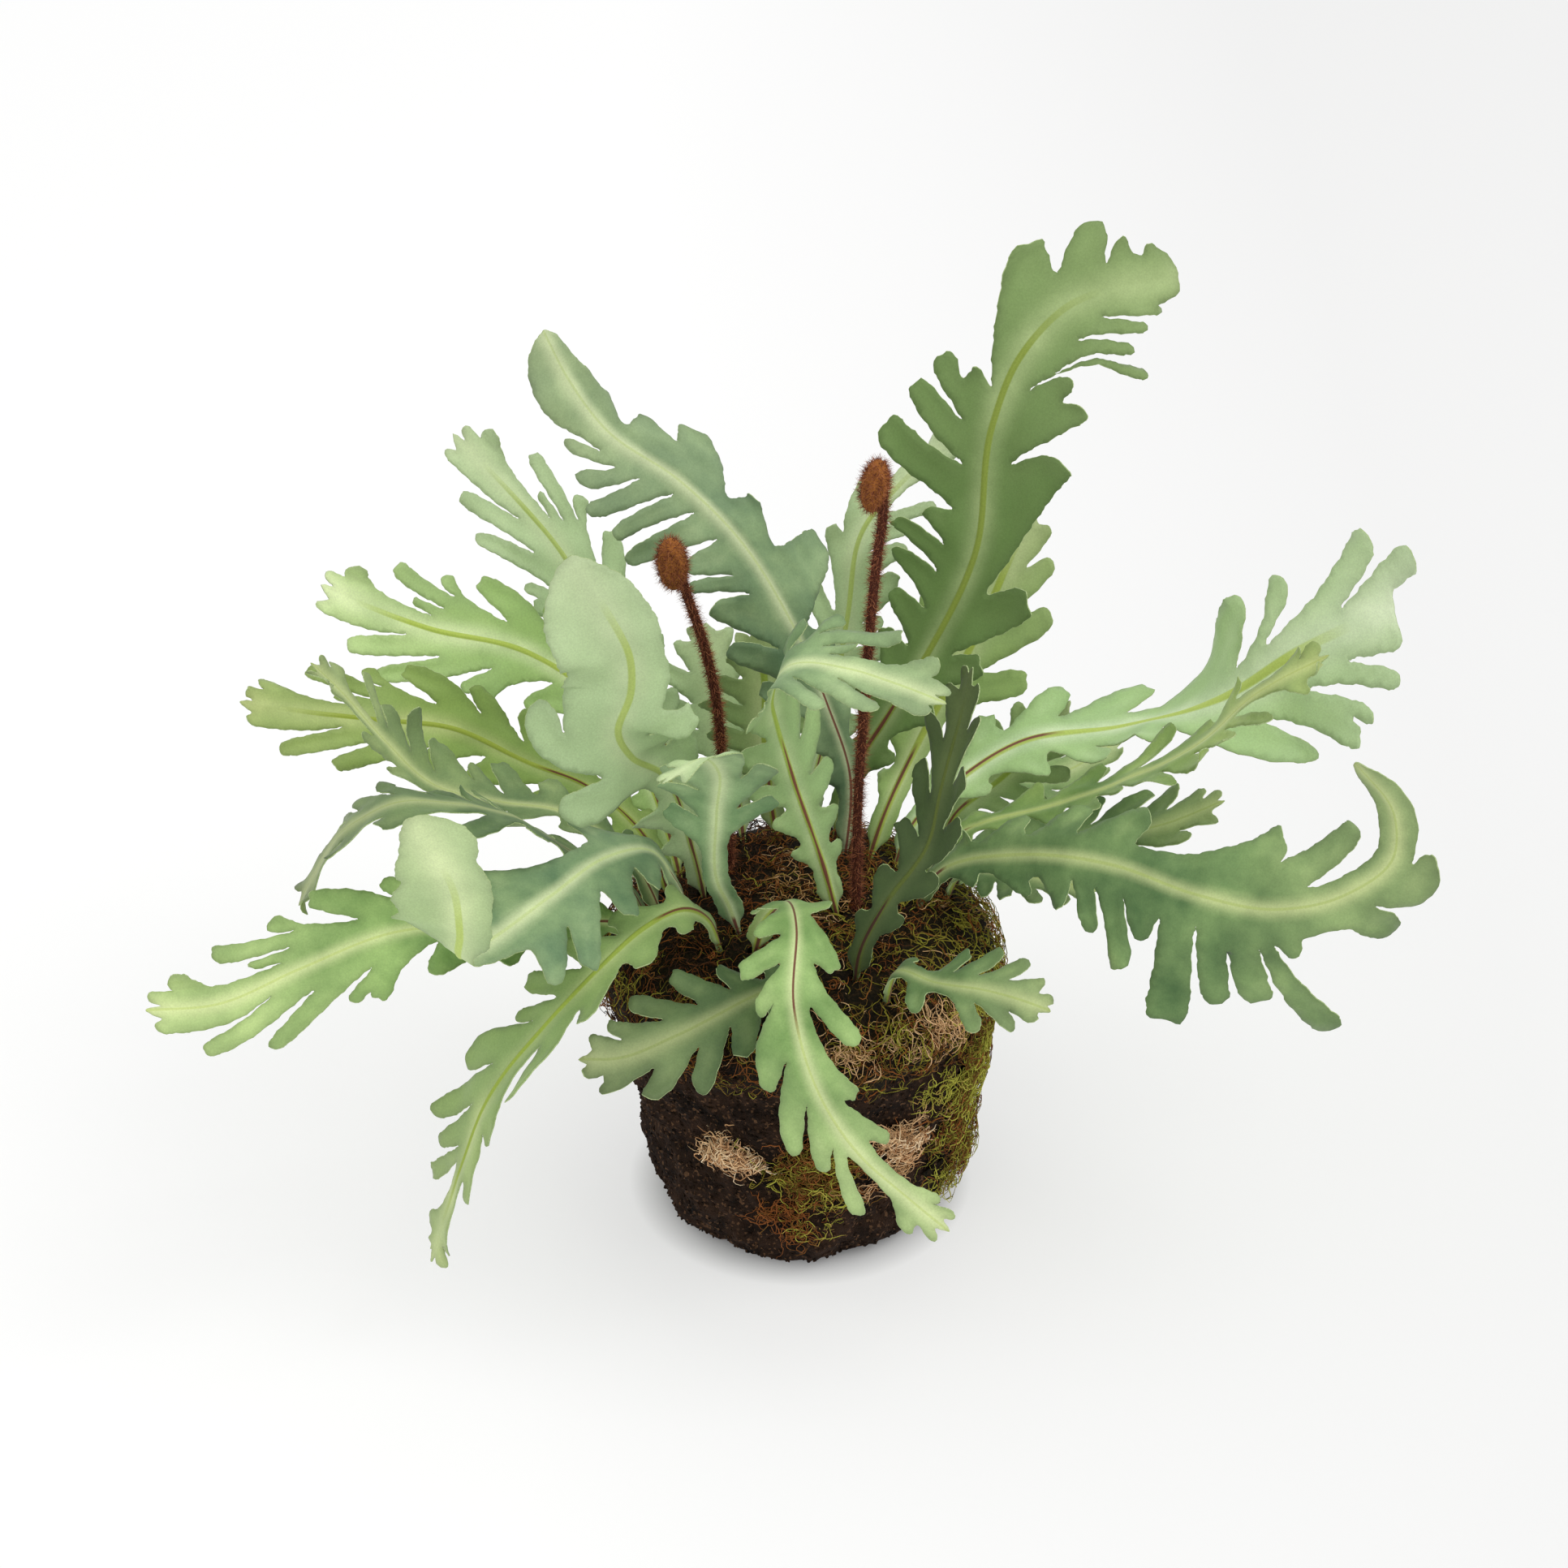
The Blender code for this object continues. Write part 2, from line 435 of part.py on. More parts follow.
def leaf_outline(leaf, lacks):
    right = [Vector((point.x, -point.y)) for point in side_outline(leaf, "right", lacks)]
    left = side_outline(leaf, "left", lacks)
    tip = Vector((leaf["length"] - leaf["end"], 0))
    return [Vector((0, 0))] + right[1:] + [tip] + left[:0:-1]


def smooth_path(root, rib):
    """Points close together on a smooth curve: straight through the soil, then past each point of the rib."""
    knots = [Vector(root)] + [Vector(point) for point in rib]
    tangents = [(knots[1] - knots[0]).normalized()]
    for before, here, after in zip(knots, knots[1:], knots[2:]):
        back, ahead = (here - before).length, (after - here).length
        tangents.append(((here - before) / back * ahead + (after - here) / ahead * back) / (back + ahead))
    tangents.append((knots[-1] - knots[-2]).normalized())
    path = [knots[0] - tangents[0] * STEM_DEPTH]
    for start, end, leave, arrive in zip(knots, knots[1:], tangents, tangents[1:]):
        span = (end - start).length
        for step in range(STEPS_BETWEEN_POINTS):
            t = step / STEPS_BETWEEN_POINTS
            path.append(
                start * (2 * t**3 - 3 * t**2 + 1) + leave * span * (t**3 - 2 * t**2 + t)
                + end * (3 * t**2 - 2 * t**3) + arrive * span * (t**3 - t**2)
            )
    path.append(knots[-1])
    return path


class Rib:
    """A frond's rib in space: its place, its direction and its upper side at each distance along it."""

    def __init__(self, frond):
        self.path = smooth_path(soil_point(*frond["root"]), frond["rib"])
        self.faces = [(share, Vector(face).normalized()) for share, *face in frond["faces"]]
        self.reached = [0.0]
        for start, end in zip(self.path, self.path[1:]):
            self.reached.append(self.reached[-1] + (end - start).length)
        self.length = self.reached[-1]

    def at(self, distance):
        index = min(max(bisect.bisect_right(self.reached, distance) - 1, 0), len(self.path) - 2)
        start, end = self.path[index], self.path[index + 1]
        place = start + (end - start) * (distance - self.reached[index]) / (end - start).length
        ahead = self.path[min(index + 2, len(self.path) - 1)] - self.path[max(index - 1, 0)]
        share = min(max(distance / self.length, 0), 1)
        for (before, face), (after, next_face) in zip(self.faces, self.faces[1:]):
            if share <= after:
                face = face.lerp(next_face, (share - before) / (after - before))
                break
        ahead.normalize()
        up = (face - ahead * face.dot(ahead)).normalized()
        return place, up.cross(ahead), up


def curl_of(leaf, curls, along, out, side):
    """How far the lobes curl this place off the leaf, in shares of the frond's curl."""
    total = 0.0
    for (base, axis, length, width), curl in zip(lobes_of(leaf, side), curls[side]):
        away = Vector((along, out)) - base
        share = away.dot(axis) / length
        if share > 0:
            across = away.cross(axis) / (CURL_SPREAD * width)
            total += curl * min(share, CURL_GROWS_TO) ** 2 * math.exp(-across * across)
    return total


def placed(frond, rib, curls, point):
    """The place in space of a point of the flat leaf."""
    leaf = frond["leaf"]
    along, out = point
    if along > BARE_STEM:
        reached = BARE_STEM + (along - BARE_STEM) * (rib.length - BARE_STEM) / (leaf["length"] - BARE_STEM)
    else:
        reached = along
    side = "left" if out > 0 else "right"
    near, far = frond["width"]
    full = (near + (far - near) * along / leaf["length"]) * frond.get("sides", (1, 1))[side == "right"]
    widen = 1 + (full - 1) * min(max((along - BARE_STEM) / FULL_WIDTH_AFTER, 0), 1)
    reach = abs(out) / EDGE_AT
    lift = frond["cup"] * reach**2 + frond["curl"] * curl_of(leaf, curls, along, abs(out), side)
    lift += WAVE_HEIGHT * math.sin(math.tau * along / WAVE_LENGTH + curls["phase"]) * reach**1.5
    place, across, up = rib.at(reached)
    return place + across * (out * widen) + up * lift


def rib_stations(frond):
    """The places along the leaf where its rib has a point."""
    end = frond["leaf"]["length"] - frond["leaf"]["end"]
    stations = [STEM_OUTLINE[1][0]]
    while stations[-1] < end - LAST_SPACING:
        stations.append(stations[-1] + RIB_POINT_SPACING)
    return sorted(stations + list(frond.get("folds", ())))


def split_outline(outline, stations):
    """The outline with a point more wherever it crosses a fold."""
    points = []
    for start, end in zip(outline, outline[1:] + outline[:1]):
        points.append(start)
        between = [along for along in stations if min(start.x, end.x) + 1 < along < max(start.x, end.x) - 1]
        for along in sorted(between, reverse=start.x > end.x):
            points.append(start.lerp(end, (along - start.x) / (end.x - start.x)))
    return points


def material(name, colour, roughness):
    made = bpy.data.materials.new(name)
    made.use_nodes = True
    shader = made.node_tree.nodes["Principled BSDF"]
    shader.inputs["Base Color"].default_value = (*colour, 1)
    shader.inputs["Roughness"].default_value = roughness
    shader.inputs["Metallic"].default_value = 0
    made.diffuse_color = (*colour, 1)
    return made


def add_object(name, mesh, look, collection):
    made = bpy.data.objects.new(name, mesh)
    if look:
        mesh.materials.append(look)
    collection.objects.link(made)
    return made


def mesh_from(name, bm):
    mesh = bpy.data.meshes.new(name)
    bm.to_mesh(mesh)
    bm.free()
    return mesh


def add_frond(name, frond, seed, look, collection):
    """A flat lobed sheet, bent along the rib and then given its thickness."""
    leaf, rib = frond["leaf"], Rib(frond)
    draw = random.Random(seed)
    curls = {side: [draw.uniform(-1, 1) for _ in lobes_of(leaf, side)] for side in ("left", "right")}
    curls["phase"] = draw.uniform(0, math.tau)
    outline = split_outline(leaf_outline(leaf, frond.get("lacks", ())), frond.get("folds", ()))
    count = len(outline)
    tip = max(range(count), key=lambda number: (outline[number].y == 0) * outline[number].x)
    middle = [Vector((along, 0)) for along in rib_stations(frond)]
    line = [0] + list(range(count, count + len(middle))) + [tip]
    flat, _, faces, *_ = delaunay_2d_cdt(
        outline + middle, list(zip(line, line[1:])), [list(range(count))], 1, 1e-5
    )
    bm = bmesh.new()
    thick = bm.verts.layers.deform.verify()
    for point in flat:
        vertex = bm.verts.new(placed(frond, rib, curls, point) * MM)
        fade = min(max(1 - (point.x - RIDGE_FROM) / (leaf["length"] * RIDGE_SHARE), 0), 1)
        vertex[thick][0] = fade if abs(point.y) < RIDGE_HALF_WIDTH else 0.0
    bm.verts.ensure_lookup_table()
    for face in faces:
        bm.faces.new([bm.verts[number] for number in face])
    bmesh.ops.recalc_face_normals(bm, faces=bm.faces)
    made = add_object(name, mesh_from(name, bm), look, collection)
    made.vertex_groups.new(name="stem")
    solidify = made.modifiers.new("Thickness", "SOLIDIFY")
    solidify.thickness = STEM_THICKNESS * MM
    solidify.thickness_vertex_group = BLADE_THICKNESS / STEM_THICKNESS
    solidify.vertex_group = "stem"
    solidify.offset = 0
    made.data.shade_smooth()


def tube_mesh(name, path, radius):
    """A round stalk along the path, as a closed mesh."""
    curve = bpy.data.curves.new(name, "CURVE")
    curve.dimensions = "3D"
    curve.bevel_depth = radius * MM
    curve.bevel_resolution = 2
    curve.use_fill_caps = True
    spline = curve.splines.new("POLY")
    spline.points.add(len(path) - 1)
    for knot, place in zip(spline.points, path):
        knot.co = (*(place * MM), 1)
    guide = bpy.data.objects.new(name, curve)
    bpy.context.scene.collection.objects.link(guide)
    graph = bpy.context.evaluated_depsgraph_get()
    mesh = bpy.data.meshes.new_from_object(guide.evaluated_get(graph))
    bpy.data.objects.remove(guide, do_unlink=True)
    bm = bmesh.new()
    bm.from_mesh(mesh)
    bmesh.ops.remove_doubles(bm, verts=bm.verts, dist=1e-6)
    bmesh.ops.recalc_face_normals(bm, faces=bm.faces)
    bm.to_mesh(mesh)
    bm.free()
    return mesh


def head_mesh(name, size):
    """A rolled-up head: an egg shape whose front and back are raised in a coil."""
    bm = bmesh.new()
    bmesh.ops.create_uvsphere(bm, u_segments=18, v_segments=12, radius=1)
    for vertex in bm.verts:
        out, high = vertex.co.x, vertex.co.z
        radius, angle = math.hypot(out, high), math.atan2(high, out)
        coil = math.cos(angle - math.tau * HEAD_COILS * radius)
        vertex.co.y *= 1 + COIL_RELIEF * coil * min(radius * 2, 1)
        vertex.co = Vector((out * size[0], vertex.co.y * size[1], high * size[2])) * MM
    return mesh_from(name, bm)


def add_fiddlehead(name, parts, look, collection, helpers):
    """A stalk joined to its head by a Boolean union."""
    path = smooth_path(soil_point(*parts["root"]), parts["stalk"])[::STALK_POINT_EVERY]
    path.append(Vector(parts["stalk"][-1]))
    made = add_object(name, tube_mesh(name, path, STALK_RADIUS), look, collection)
    head = add_object(name + "_head", head_mesh(name + "_head", parts["size"]), None, helpers)
    turn = Matrix.Rotation(math.radians(parts["tilt"]), 4, "Y")
    head.matrix_world = Matrix.Translation(Vector(parts["head"]) * MM) @ turn
    head.hide_render = True
    head.display_type = "WIRE"
    join = made.modifiers.new("Head", "BOOLEAN")
    join.operation = "UNION"
    join.object = head
    join.solver = "EXACT"
    made.data.shade_smooth()


def lump(angle, height):
    """How far the soil stands proud of its ring, in millimetres."""
    return (
        1.3 * math.sin(3 * angle + height / 19) + 0.9 * math.sin(7 * angle - height / 11 + 1)
        + 0.6 * math.sin(13 * angle + height / 6)
    )


def soil_height(radius):
    for (inner, high), (outer, low) in zip(SOIL_RINGS, SOIL_RINGS[1:]):
        if radius <= outer:
            return high + (low - high) * (radius - inner) / (outer - inner)
    raise ValueError("the root is outside the ball")


def soil_point(x, y):
    return Vector((x, y, soil_height(math.hypot(x, y))))


def soil_mesh():
    """A sphere's net, laid onto the ball's rings."""
    rings = len(SOIL_RINGS) - 1
    bm = bmesh.new()
    bmesh.ops.create_uvsphere(bm, u_segments=SOIL_SIDES, v_segments=rings, radius=1)
    ring_of = bm.verts.layers.int.new("ring")
    for vertex in bm.verts:
        ring = round(math.acos(max(-1, min(1, vertex.co.z))) / math.pi * rings)
        radius, height = SOIL_RINGS[ring]
        angle = math.atan2(vertex.co.y, vertex.co.x)
        if CROWN_RINGS - 1 <= ring < rings - 1:
            radius += lump(angle, height)
        vertex[ring_of] = ring
        vertex.co = Vector((radius * math.cos(angle), radius * math.sin(angle), height)) * MM
    bmesh.ops.triangulate(bm, faces=bm.faces, quad_method="SHORT_EDGE")
    bm.normal_update()
    return bm


def add_root_ball(look, collection):
    return add_object("root_ball", mesh_from("root_ball", soil_mesh()), look, collection)


def add_skin(name, keeps, thickness, seed, look, collection):
    """A pad of moss or fibre on the soil, over the soil's faces that `keeps` picks by their middle."""
    bm = soil_mesh()
    lost = [face for face in bm.faces if not keeps(face.calc_center_median() / MM)]
    for vertex in bm.verts:
        vertex.co += vertex.normal * SEAT_GAP * MM
    bmesh.ops.delete(bm, geom=lost, context="FACES")
    draw = random.Random(seed)
    depth = bm.verts.layers.deform.verify()
    for vertex in bm.verts:
        vertex[depth][0] = draw.uniform(0.2, 0.5) if vertex.is_boundary else draw.uniform(0.55, 1)
    made = add_object(name, mesh_from(name, bm), look, collection)
    made.vertex_groups.new(name="depth")
    solidify = made.modifiers.new("Thickness", "SOLIDIFY")
    solidify.thickness = thickness * MM
    solidify.offset = 1
    solidify.vertex_group = "depth"
    solidify.thickness_vertex_group = 0
    made.data.shade_smooth()
    return made


def bearing(point):
    """The direction of a point from the ball's axis, in degrees from +X."""
    return math.degrees(math.atan2(point.y, point.x))


def add_holes(cutters):
    """One round hole for each stem, straight down the line that the stem comes up on."""
    roots = [(frond["root"], frond["rib"][0]) for frond in FRONDS.values()]
    roots += [(parts["root"], parts["stalk"][0]) for parts in FIDDLEHEADS.values()]
    for number, (root, above) in enumerate(roots):
        foot = soil_point(*root)
        line = (Vector(above) - foot).normalized()
        length = STEM_DEPTH + HOLE_SPARE + HOLE_ABOVE
        bm = bmesh.new()
        bmesh.ops.create_cone(
            bm, cap_ends=True, segments=HOLE_SIDES, radius1=HOLE_WIDTH / 2 * MM, radius2=HOLE_WIDTH / 2 * MM,
            depth=length * MM,
        )
        cutter = add_object(f"hole_{number}", mesh_from(f"hole_{number}", bm), None, cutters)
        middle = foot + line * (length / 2 - STEM_DEPTH - HOLE_SPARE)
        turn = line.to_track_quat("Z", "Y").to_matrix().to_4x4()
        cutter.matrix_world = Matrix.Translation(middle * MM) @ turn
        cutter.hide_render = True
        cutter.display_type = "WIRE"


def cut_holes(piece, cutters):
    cut = piece.modifiers.new("Stem holes", "BOOLEAN")
    cut.operation = "DIFFERENCE"
    cut.operand_type = "COLLECTION"
    cut.collection = cutters
    cut.solver = "EXACT"


def main():
    for old in list(bpy.data.objects):
        bpy.data.objects.remove(old, do_unlink=True)
    fern = bpy.data.collections.new("fern")
    cutters = bpy.data.collections.new("stem_holes")
    heads = bpy.data.collections.new("heads")
    for collection in (fern, cutters, heads):
        bpy.context.scene.collection.children.link(collection)
    sage = material("leaf_sage", (0.15, 0.30, 0.17), 0.6)
    pale = material("leaf_pale", (0.30, 0.46, 0.22), 0.6)
    soil = material("soil", (0.03, 0.02, 0.015), 0.95)
    moss = material("moss", (0.12, 0.12, 0.03), 0.95)
    fibre = material("fibre", (0.45, 0.30, 0.18), 0.9)
    fur = material("fur", (0.16, 0.05, 0.03), 0.9)

    add_holes(cutters)
    ball = add_root_ball(soil, fern)
    crown = add_skin("moss_crown", lambda middle: middle.z > 97, 4.5, 3, moss, fern)
    cut_holes(ball, cutters)
    cut_holes(crown, cutters)
    add_skin("moss_band_right", lambda at: -36 < bearing(at) < 0 and 20 < at.z < 94, 3.5, 4, moss, fern)
    add_skin("moss_patch_front", lambda at: -96 < bearing(at) < -72 and 28 < at.z < 68, 3.5, 5, moss, fern)
    add_skin("fibre_tuft_front", lambda at: -120 < bearing(at) < -108 and 52 < at.z < 68, 3, 6, fibre, fern)
    add_skin("fibre_tuft_right", lambda at: -60 < bearing(at) < -48 and 52 < at.z < 68, 3, 7, fibre, fern)
    for seed, (name, frond) in enumerate(FRONDS.items()):
        add_frond(name, frond, seed, pale if name in PALE_FRONDS else sage, fern)
    for name, parts in FIDDLEHEADS.items():
        add_fiddlehead(name, parts, fur, fern, heads)


main()
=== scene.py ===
# A drop-in fern: lobed cloth fronds and two furry fiddleheads that stand in a bare ball of soil with moss
# and wood fibre on it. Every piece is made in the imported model's own frame, and the moss and the fibre lie
# on that model's surfaces. Sizes below are in millimetres, and MM turns them into Blender's metres.

import bisect
import math
import random

import bmesh
import bpy
from mathutils import Matrix, Vector, noise
from mathutils.bvhtree import BVHTree
from mathutils.geometry import delaunay_2d_cdt
from mathutils.kdtree import KDTree


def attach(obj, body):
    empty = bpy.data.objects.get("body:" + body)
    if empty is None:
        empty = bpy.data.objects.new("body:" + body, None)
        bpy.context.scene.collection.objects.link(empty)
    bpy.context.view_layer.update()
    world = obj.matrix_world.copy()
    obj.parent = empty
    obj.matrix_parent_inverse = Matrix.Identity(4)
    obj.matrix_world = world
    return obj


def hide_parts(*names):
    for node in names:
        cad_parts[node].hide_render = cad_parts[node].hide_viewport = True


MM = 0.001

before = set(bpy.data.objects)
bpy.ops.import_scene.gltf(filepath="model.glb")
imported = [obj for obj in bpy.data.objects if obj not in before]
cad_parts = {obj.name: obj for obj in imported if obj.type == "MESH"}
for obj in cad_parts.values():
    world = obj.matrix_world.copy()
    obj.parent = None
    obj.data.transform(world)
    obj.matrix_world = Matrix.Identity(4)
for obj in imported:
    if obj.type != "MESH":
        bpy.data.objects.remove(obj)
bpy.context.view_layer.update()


# The soil ball
# Peat pressed round a core: a rough dark ball, narrower at its foot, that crumbles at its surface.
# It is one lathe shape with broad lumps, clods and grains, and with loose crumbs scattered over it.

# The ball's outline as (radius, height), from the middle of its crown to the middle of its foot
SOIL_RINGS = (
    (0, 130), (16, 130), (31, 129), (45, 127), (57, 124), (67, 118), (72.5, 109), (72, 96),
    (69.5, 82), (66.5, 68), (62.5, 52), (62.5, 34), (60, 14), (54, 3), (48, 0), (0, 0),
)
SOIL_SIDES = 220
SOIL_STEP = 2.0
# Each kind of lump: how far it stands out, how many go round the ball, the height over which they drift
# round it by a radian, and where they start
LUMPS = ((1.3, 3, 19, 0), (0.9, 7, -11, 1), (0.6, 13, 6, 0))
# Above CROWN_EDGE the lumps grow with the radius, and at the foot they grow with the height
CROWN_EDGE = 60
LUMPS_FROM = 50
LUMPS_OVER = 15
LUMPS_RISE_OVER = 3
# Clods, grains and hollows: how far they rise or sink, and how large they are; they too fade out at the foot
CLODS = (2.2, 13)
GRAINS = (1.4, 3.4)
HOLLOWS = (1.5, 7)
CLODS_RISE_OVER = 4
# At this height the ball's surface begins to turn from sideways to upwards
SHOULDER = 110
SHOULDER_OVER = 14
CRUMB_SIZE = 0.85
CRUMBS_PER_SQUARE_MM = 0.088
CRUMBS_FROM = 2.5
# The smallest and the largest crumb beside CRUMB_SIZE, as shares each way
CRUMB_SHARES = ((0.35, 0.35, 0.35), (1.5, 1.2, 1.1))


def new_object(name, data):
    made = bpy.data.objects.new(name, data)
    bpy.context.scene.collection.objects.link(made)
    return made


def mesh_of(name, bm):
    """The finished mesh, with smooth shading."""
    for face in bm.faces:
        face.smooth = True
    mesh = bpy.data.meshes.new(name)
    bm.to_mesh(mesh)
    bm.free()
    return mesh


def clamp(value):
    return min(max(value, 0), 1)


def lump(angle, height):
    """How far the soil stands proud of its ring."""
    return sum(far * math.sin(count * angle + height / drift + start) for far, count, drift, start in LUMPS)


def soil_profile():
    """The ball's outline from the crown's middle to the middle of its foot, in even steps."""
    points = []
    for (r0, z0), (r1, z1) in zip(SOIL_RINGS, SOIL_RINGS[1:]):
        count = max(1, round(math.dist((r0, z0), (r1, z1)) / SOIL_STEP))
        points += [(r0 + (r1 - r0) * k / count, z0 + (z1 - z0) * k / count) for k in range(count)]
    return points[1:]


def soil_height(radius):
    for (inner, high), (outer, low) in zip(SOIL_RINGS, SOIL_RINGS[1:]):
        if radius <= outer:
            return high + (low - high) * (radius - inner) / (outer - inner)
    return SOIL_RINGS[0][1]


def soil_point(x, y):
    return Vector((x, y, soil_height(math.hypot(x, y))))


def clods(place):
    """How far the soil is raised or sunk at this place."""
    return (
        CLODS[0] * noise.fractal(place / CLODS[1], 0.8, 2.0, 4)
        + GRAINS[0] * noise.fractal(place / GRAINS[1], 0.9, 2.2, 4)
        - HOLLOWS[0] * max(0, noise.noise(place / HOLLOWS[1] + Vector((9, 4, 2)))) ** 2
    )


def way_out(side, height, shoulder, over):
    """The way out of the ball: sideways on its side, and more and more upwards over its shoulder."""
    rise = clamp((height - shoulder) / over)
    return (side * (1 - rise) + Vector((0, 0, 1)) * rise).normalized()


def soil_mesh():
    bm = bmesh.new()
    rows = []
    for radius, height in soil_profile():
        row = []
        for side in range(SOIL_SIDES):
            angle = math.tau * side / SOIL_SIDES
            lumpy = clamp((radius - LUMPS_FROM) / LUMPS_OVER) if height > CROWN_EDGE else 1
            wide = radius + lump(angle, height) * lumpy * min(1, height / LUMPS_RISE_OVER)
            place = Vector((wide * math.cos(angle), wide * math.sin(angle), height))
            way = way_out(Vector((math.cos(angle), math.sin(angle), 0)), height, SHOULDER, SHOULDER_OVER)
            place += way * clods(place) * min(1, height / CLODS_RISE_OVER)
            place.z = max(place.z, 0)
            row.append(bm.verts.new(place * MM))
        rows.append(row)
    for upper, lower in zip(rows, rows[1:]):
        for side in range(SOIL_SIDES):
            after = (side + 1) % SOIL_SIDES
            bm.faces.new((upper[side], lower[side], lower[after], upper[after]))
    top = bm.verts.new((0, 0, SOIL_RINGS[0][1] * MM))
    foot = bm.verts.new((0, 0, 0))
    for side in range(SOIL_SIDES):
        after = (side + 1) % SOIL_SIDES
        bm.faces.new((top, rows[0][side], rows[0][after]))
        bm.faces.new((foot, rows[-1][after], rows[-1][side]))
    bmesh.ops.recalc_face_normals(bm, faces=bm.faces)
    return mesh_of("soil_ball", bm)


def geometry_tree(name, inputs):
    """A Geometry Nodes tree with its geometry in and out and these named inputs."""
    tree = bpy.data.node_groups.new(name, "GeometryNodeTree")
    tree.is_modifier = True
    for label, kind in (("Geometry", "Geometry"), *inputs):
        tree.interface.new_socket(label, in_out="INPUT", socket_type="NodeSocket" + kind)
    tree.interface.new_socket("Geometry", in_out="OUTPUT", socket_type="NodeSocketGeometry")
    return tree, put(tree, "NodeGroupInput").outputs


def put(tree, kind, inputs=(), **settings):
    """A new node, with its settings and its inputs: a number or colour, or another node's output."""
    made = tree.nodes.new(kind)
    for name, value in settings.items():
        setattr(made, name, value)
    for socket, value in dict(inputs).items():
        if isinstance(value, bpy.types.NodeSocket):
            tree.links.new(value, made.inputs[socket])
        else:
            made.inputs[socket].default_value = value
    return made


def with_material(tree, geometry, material):
    return put(tree, "GeometryNodeSetMaterial", {"Geometry": geometry, "Material": material}).outputs[0]


def joined(tree, *geometries):
    made = put(tree, "GeometryNodeJoinGeometry")
    for geometry in geometries:
        tree.links.new(geometry, made.inputs[0])
    return made.outputs[0]


def random_value(tree, low, high, seed=0):
    """A number, or a vector of three, that differs from instance to instance."""
    is_vector = isinstance(low, tuple)
    first = 0 if is_vector else 2
    made = put(
        tree, "FunctionNodeRandomValue", {first: low, first + 1: high, "Seed": seed},
        data_type="FLOAT_VECTOR" if is_vector else "FLOAT",
    )
    return made.outputs[0 if is_vector else 1]


def made_by(tree, obj, **values):
    """The object with its mesh as the tree makes it, as a plain mesh."""
    modifier = obj.modifiers.new(tree.name, "NODES")
    modifier.node_group = tree
    for item in tree.interface.items_tree:
        label = item.name.lower().replace(" ", "_")
        if item.in_out == "INPUT" and label in values:
            modifier[item.identifier] = values[label]
    graph = bpy.context.evaluated_depsgraph_get()
    mesh = bpy.data.meshes.new_from_object(
        obj.evaluated_get(graph), preserve_all_data_layers=True, depsgraph=graph
    )
    obj.modifiers.clear()
    obj.data = mesh
    return obj


def crumb_tree():
    """Loose crumbs of soil, sunk a little into the surface that they lie on."""
    tree, given = geometry_tree("Soil crumbs", (
        ("Per square metre", "Float"), ("Size", "Float"), ("Lowest", "Float"), ("Seed", "Int"),
        ("Soil", "Material"),
    ))
    place = put(tree, "GeometryNodeInputPosition").outputs[0]
    height = put(tree, "ShaderNodeSeparateXYZ", {0: place}).outputs["Z"]
    high = put(tree, "FunctionNodeCompare", {0: height, 1: given["Lowest"]}, operation="GREATER_THAN")
    spots = put(tree, "GeometryNodeDistributePointsOnFaces", {
        "Mesh": given["Geometry"], "Selection": high.outputs[0], "Density": given["Per square metre"],
        "Seed": given["Seed"],
    }).outputs["Points"]
    ball = put(tree, "GeometryNodeMeshIcoSphere", {"Radius": given["Size"], "Subdivisions": 1}).outputs[0]
    crumbs = put(tree, "GeometryNodeInstanceOnPoints", {
        "Points": spots, "Instance": ball, "Rotation": random_value(tree, (0, 0, 0), (6.28, 6.28, 6.28)),
        "Scale": random_value(tree, *CRUMB_SHARES, 5),
    }).outputs[0]
    loose = put(tree, "GeometryNodeRealizeInstances", {0: crumbs}).outputs[0]
    crumbly = joined(tree, loose, given["Geometry"])
    put(tree, "NodeGroupOutput", {0: with_material(tree, crumbly, given["Soil"])})
    return tree


def colour(red, green, blue):
    """A colour as a screen shows it, from 0 to 255, for a shader."""
    shares = (value / 255 for value in (red, green, blue))
    return tuple(((c + 0.055) / 1.055) ** 2.4 if c > 0.04 else c / 12.92 for c in shares) + (1,)


def mixed(tree, factor, first, second):
    return put(tree, "ShaderNodeMix", {0: factor, 6: first, 7: second}, data_type="RGBA").outputs[2]


def maths(tree, operation, *values):
    return put(tree, "ShaderNodeMath", dict(enumerate(values)), operation=operation).outputs[0]


def times(tree, first, *others):
    for other in others:
        first = maths(tree, "MULTIPLY", first, other)
    return first


def ranged(tree, value, low, high, to_low=0.0, to_high=1.0):
    return put(tree, "ShaderNodeMapRange", {0: value, 1: low, 2: high, 3: to_low, 4: to_high}).outputs[0]


def speckle(tree, scale, detail, roughness=0.5):
    """A cloudy pattern that is fixed in the object; its scale is in patches a metre."""
    place = put(tree, "ShaderNodeTexCoord").outputs["Object"]
    return put(tree, "ShaderNodeTexNoise", {
        "Vector": place, "Scale": scale, "Detail": detail, "Roughness": roughness,
    }).outputs[0]


def new_material(name, roughness, specular):
    made = bpy.data.materials.new(name)
    made.use_nodes = True
    shader = made.node_tree.nodes["Principled BSDF"]
    shader.inputs["Roughness"].default_value = roughness
    shader.inputs["Specular IOR Level"].default_value = specular
    return made, made.node_tree, shader


def paint(tree, shader, shade, height=None, strength=1.0, depth=1.0):
    """Gives the shader its colour, and the relief of a pattern whose height is `depth` millimetres."""
    tree.links.new(shade, shader.inputs["Base Color"])
    if height is not None:
        bump = put(tree, "ShaderNodeBump", {"Strength": strength, "Distance": depth * MM, "Height": height})
        tree.links.new(bump.outputs[0], shader.inputs["Normal"])


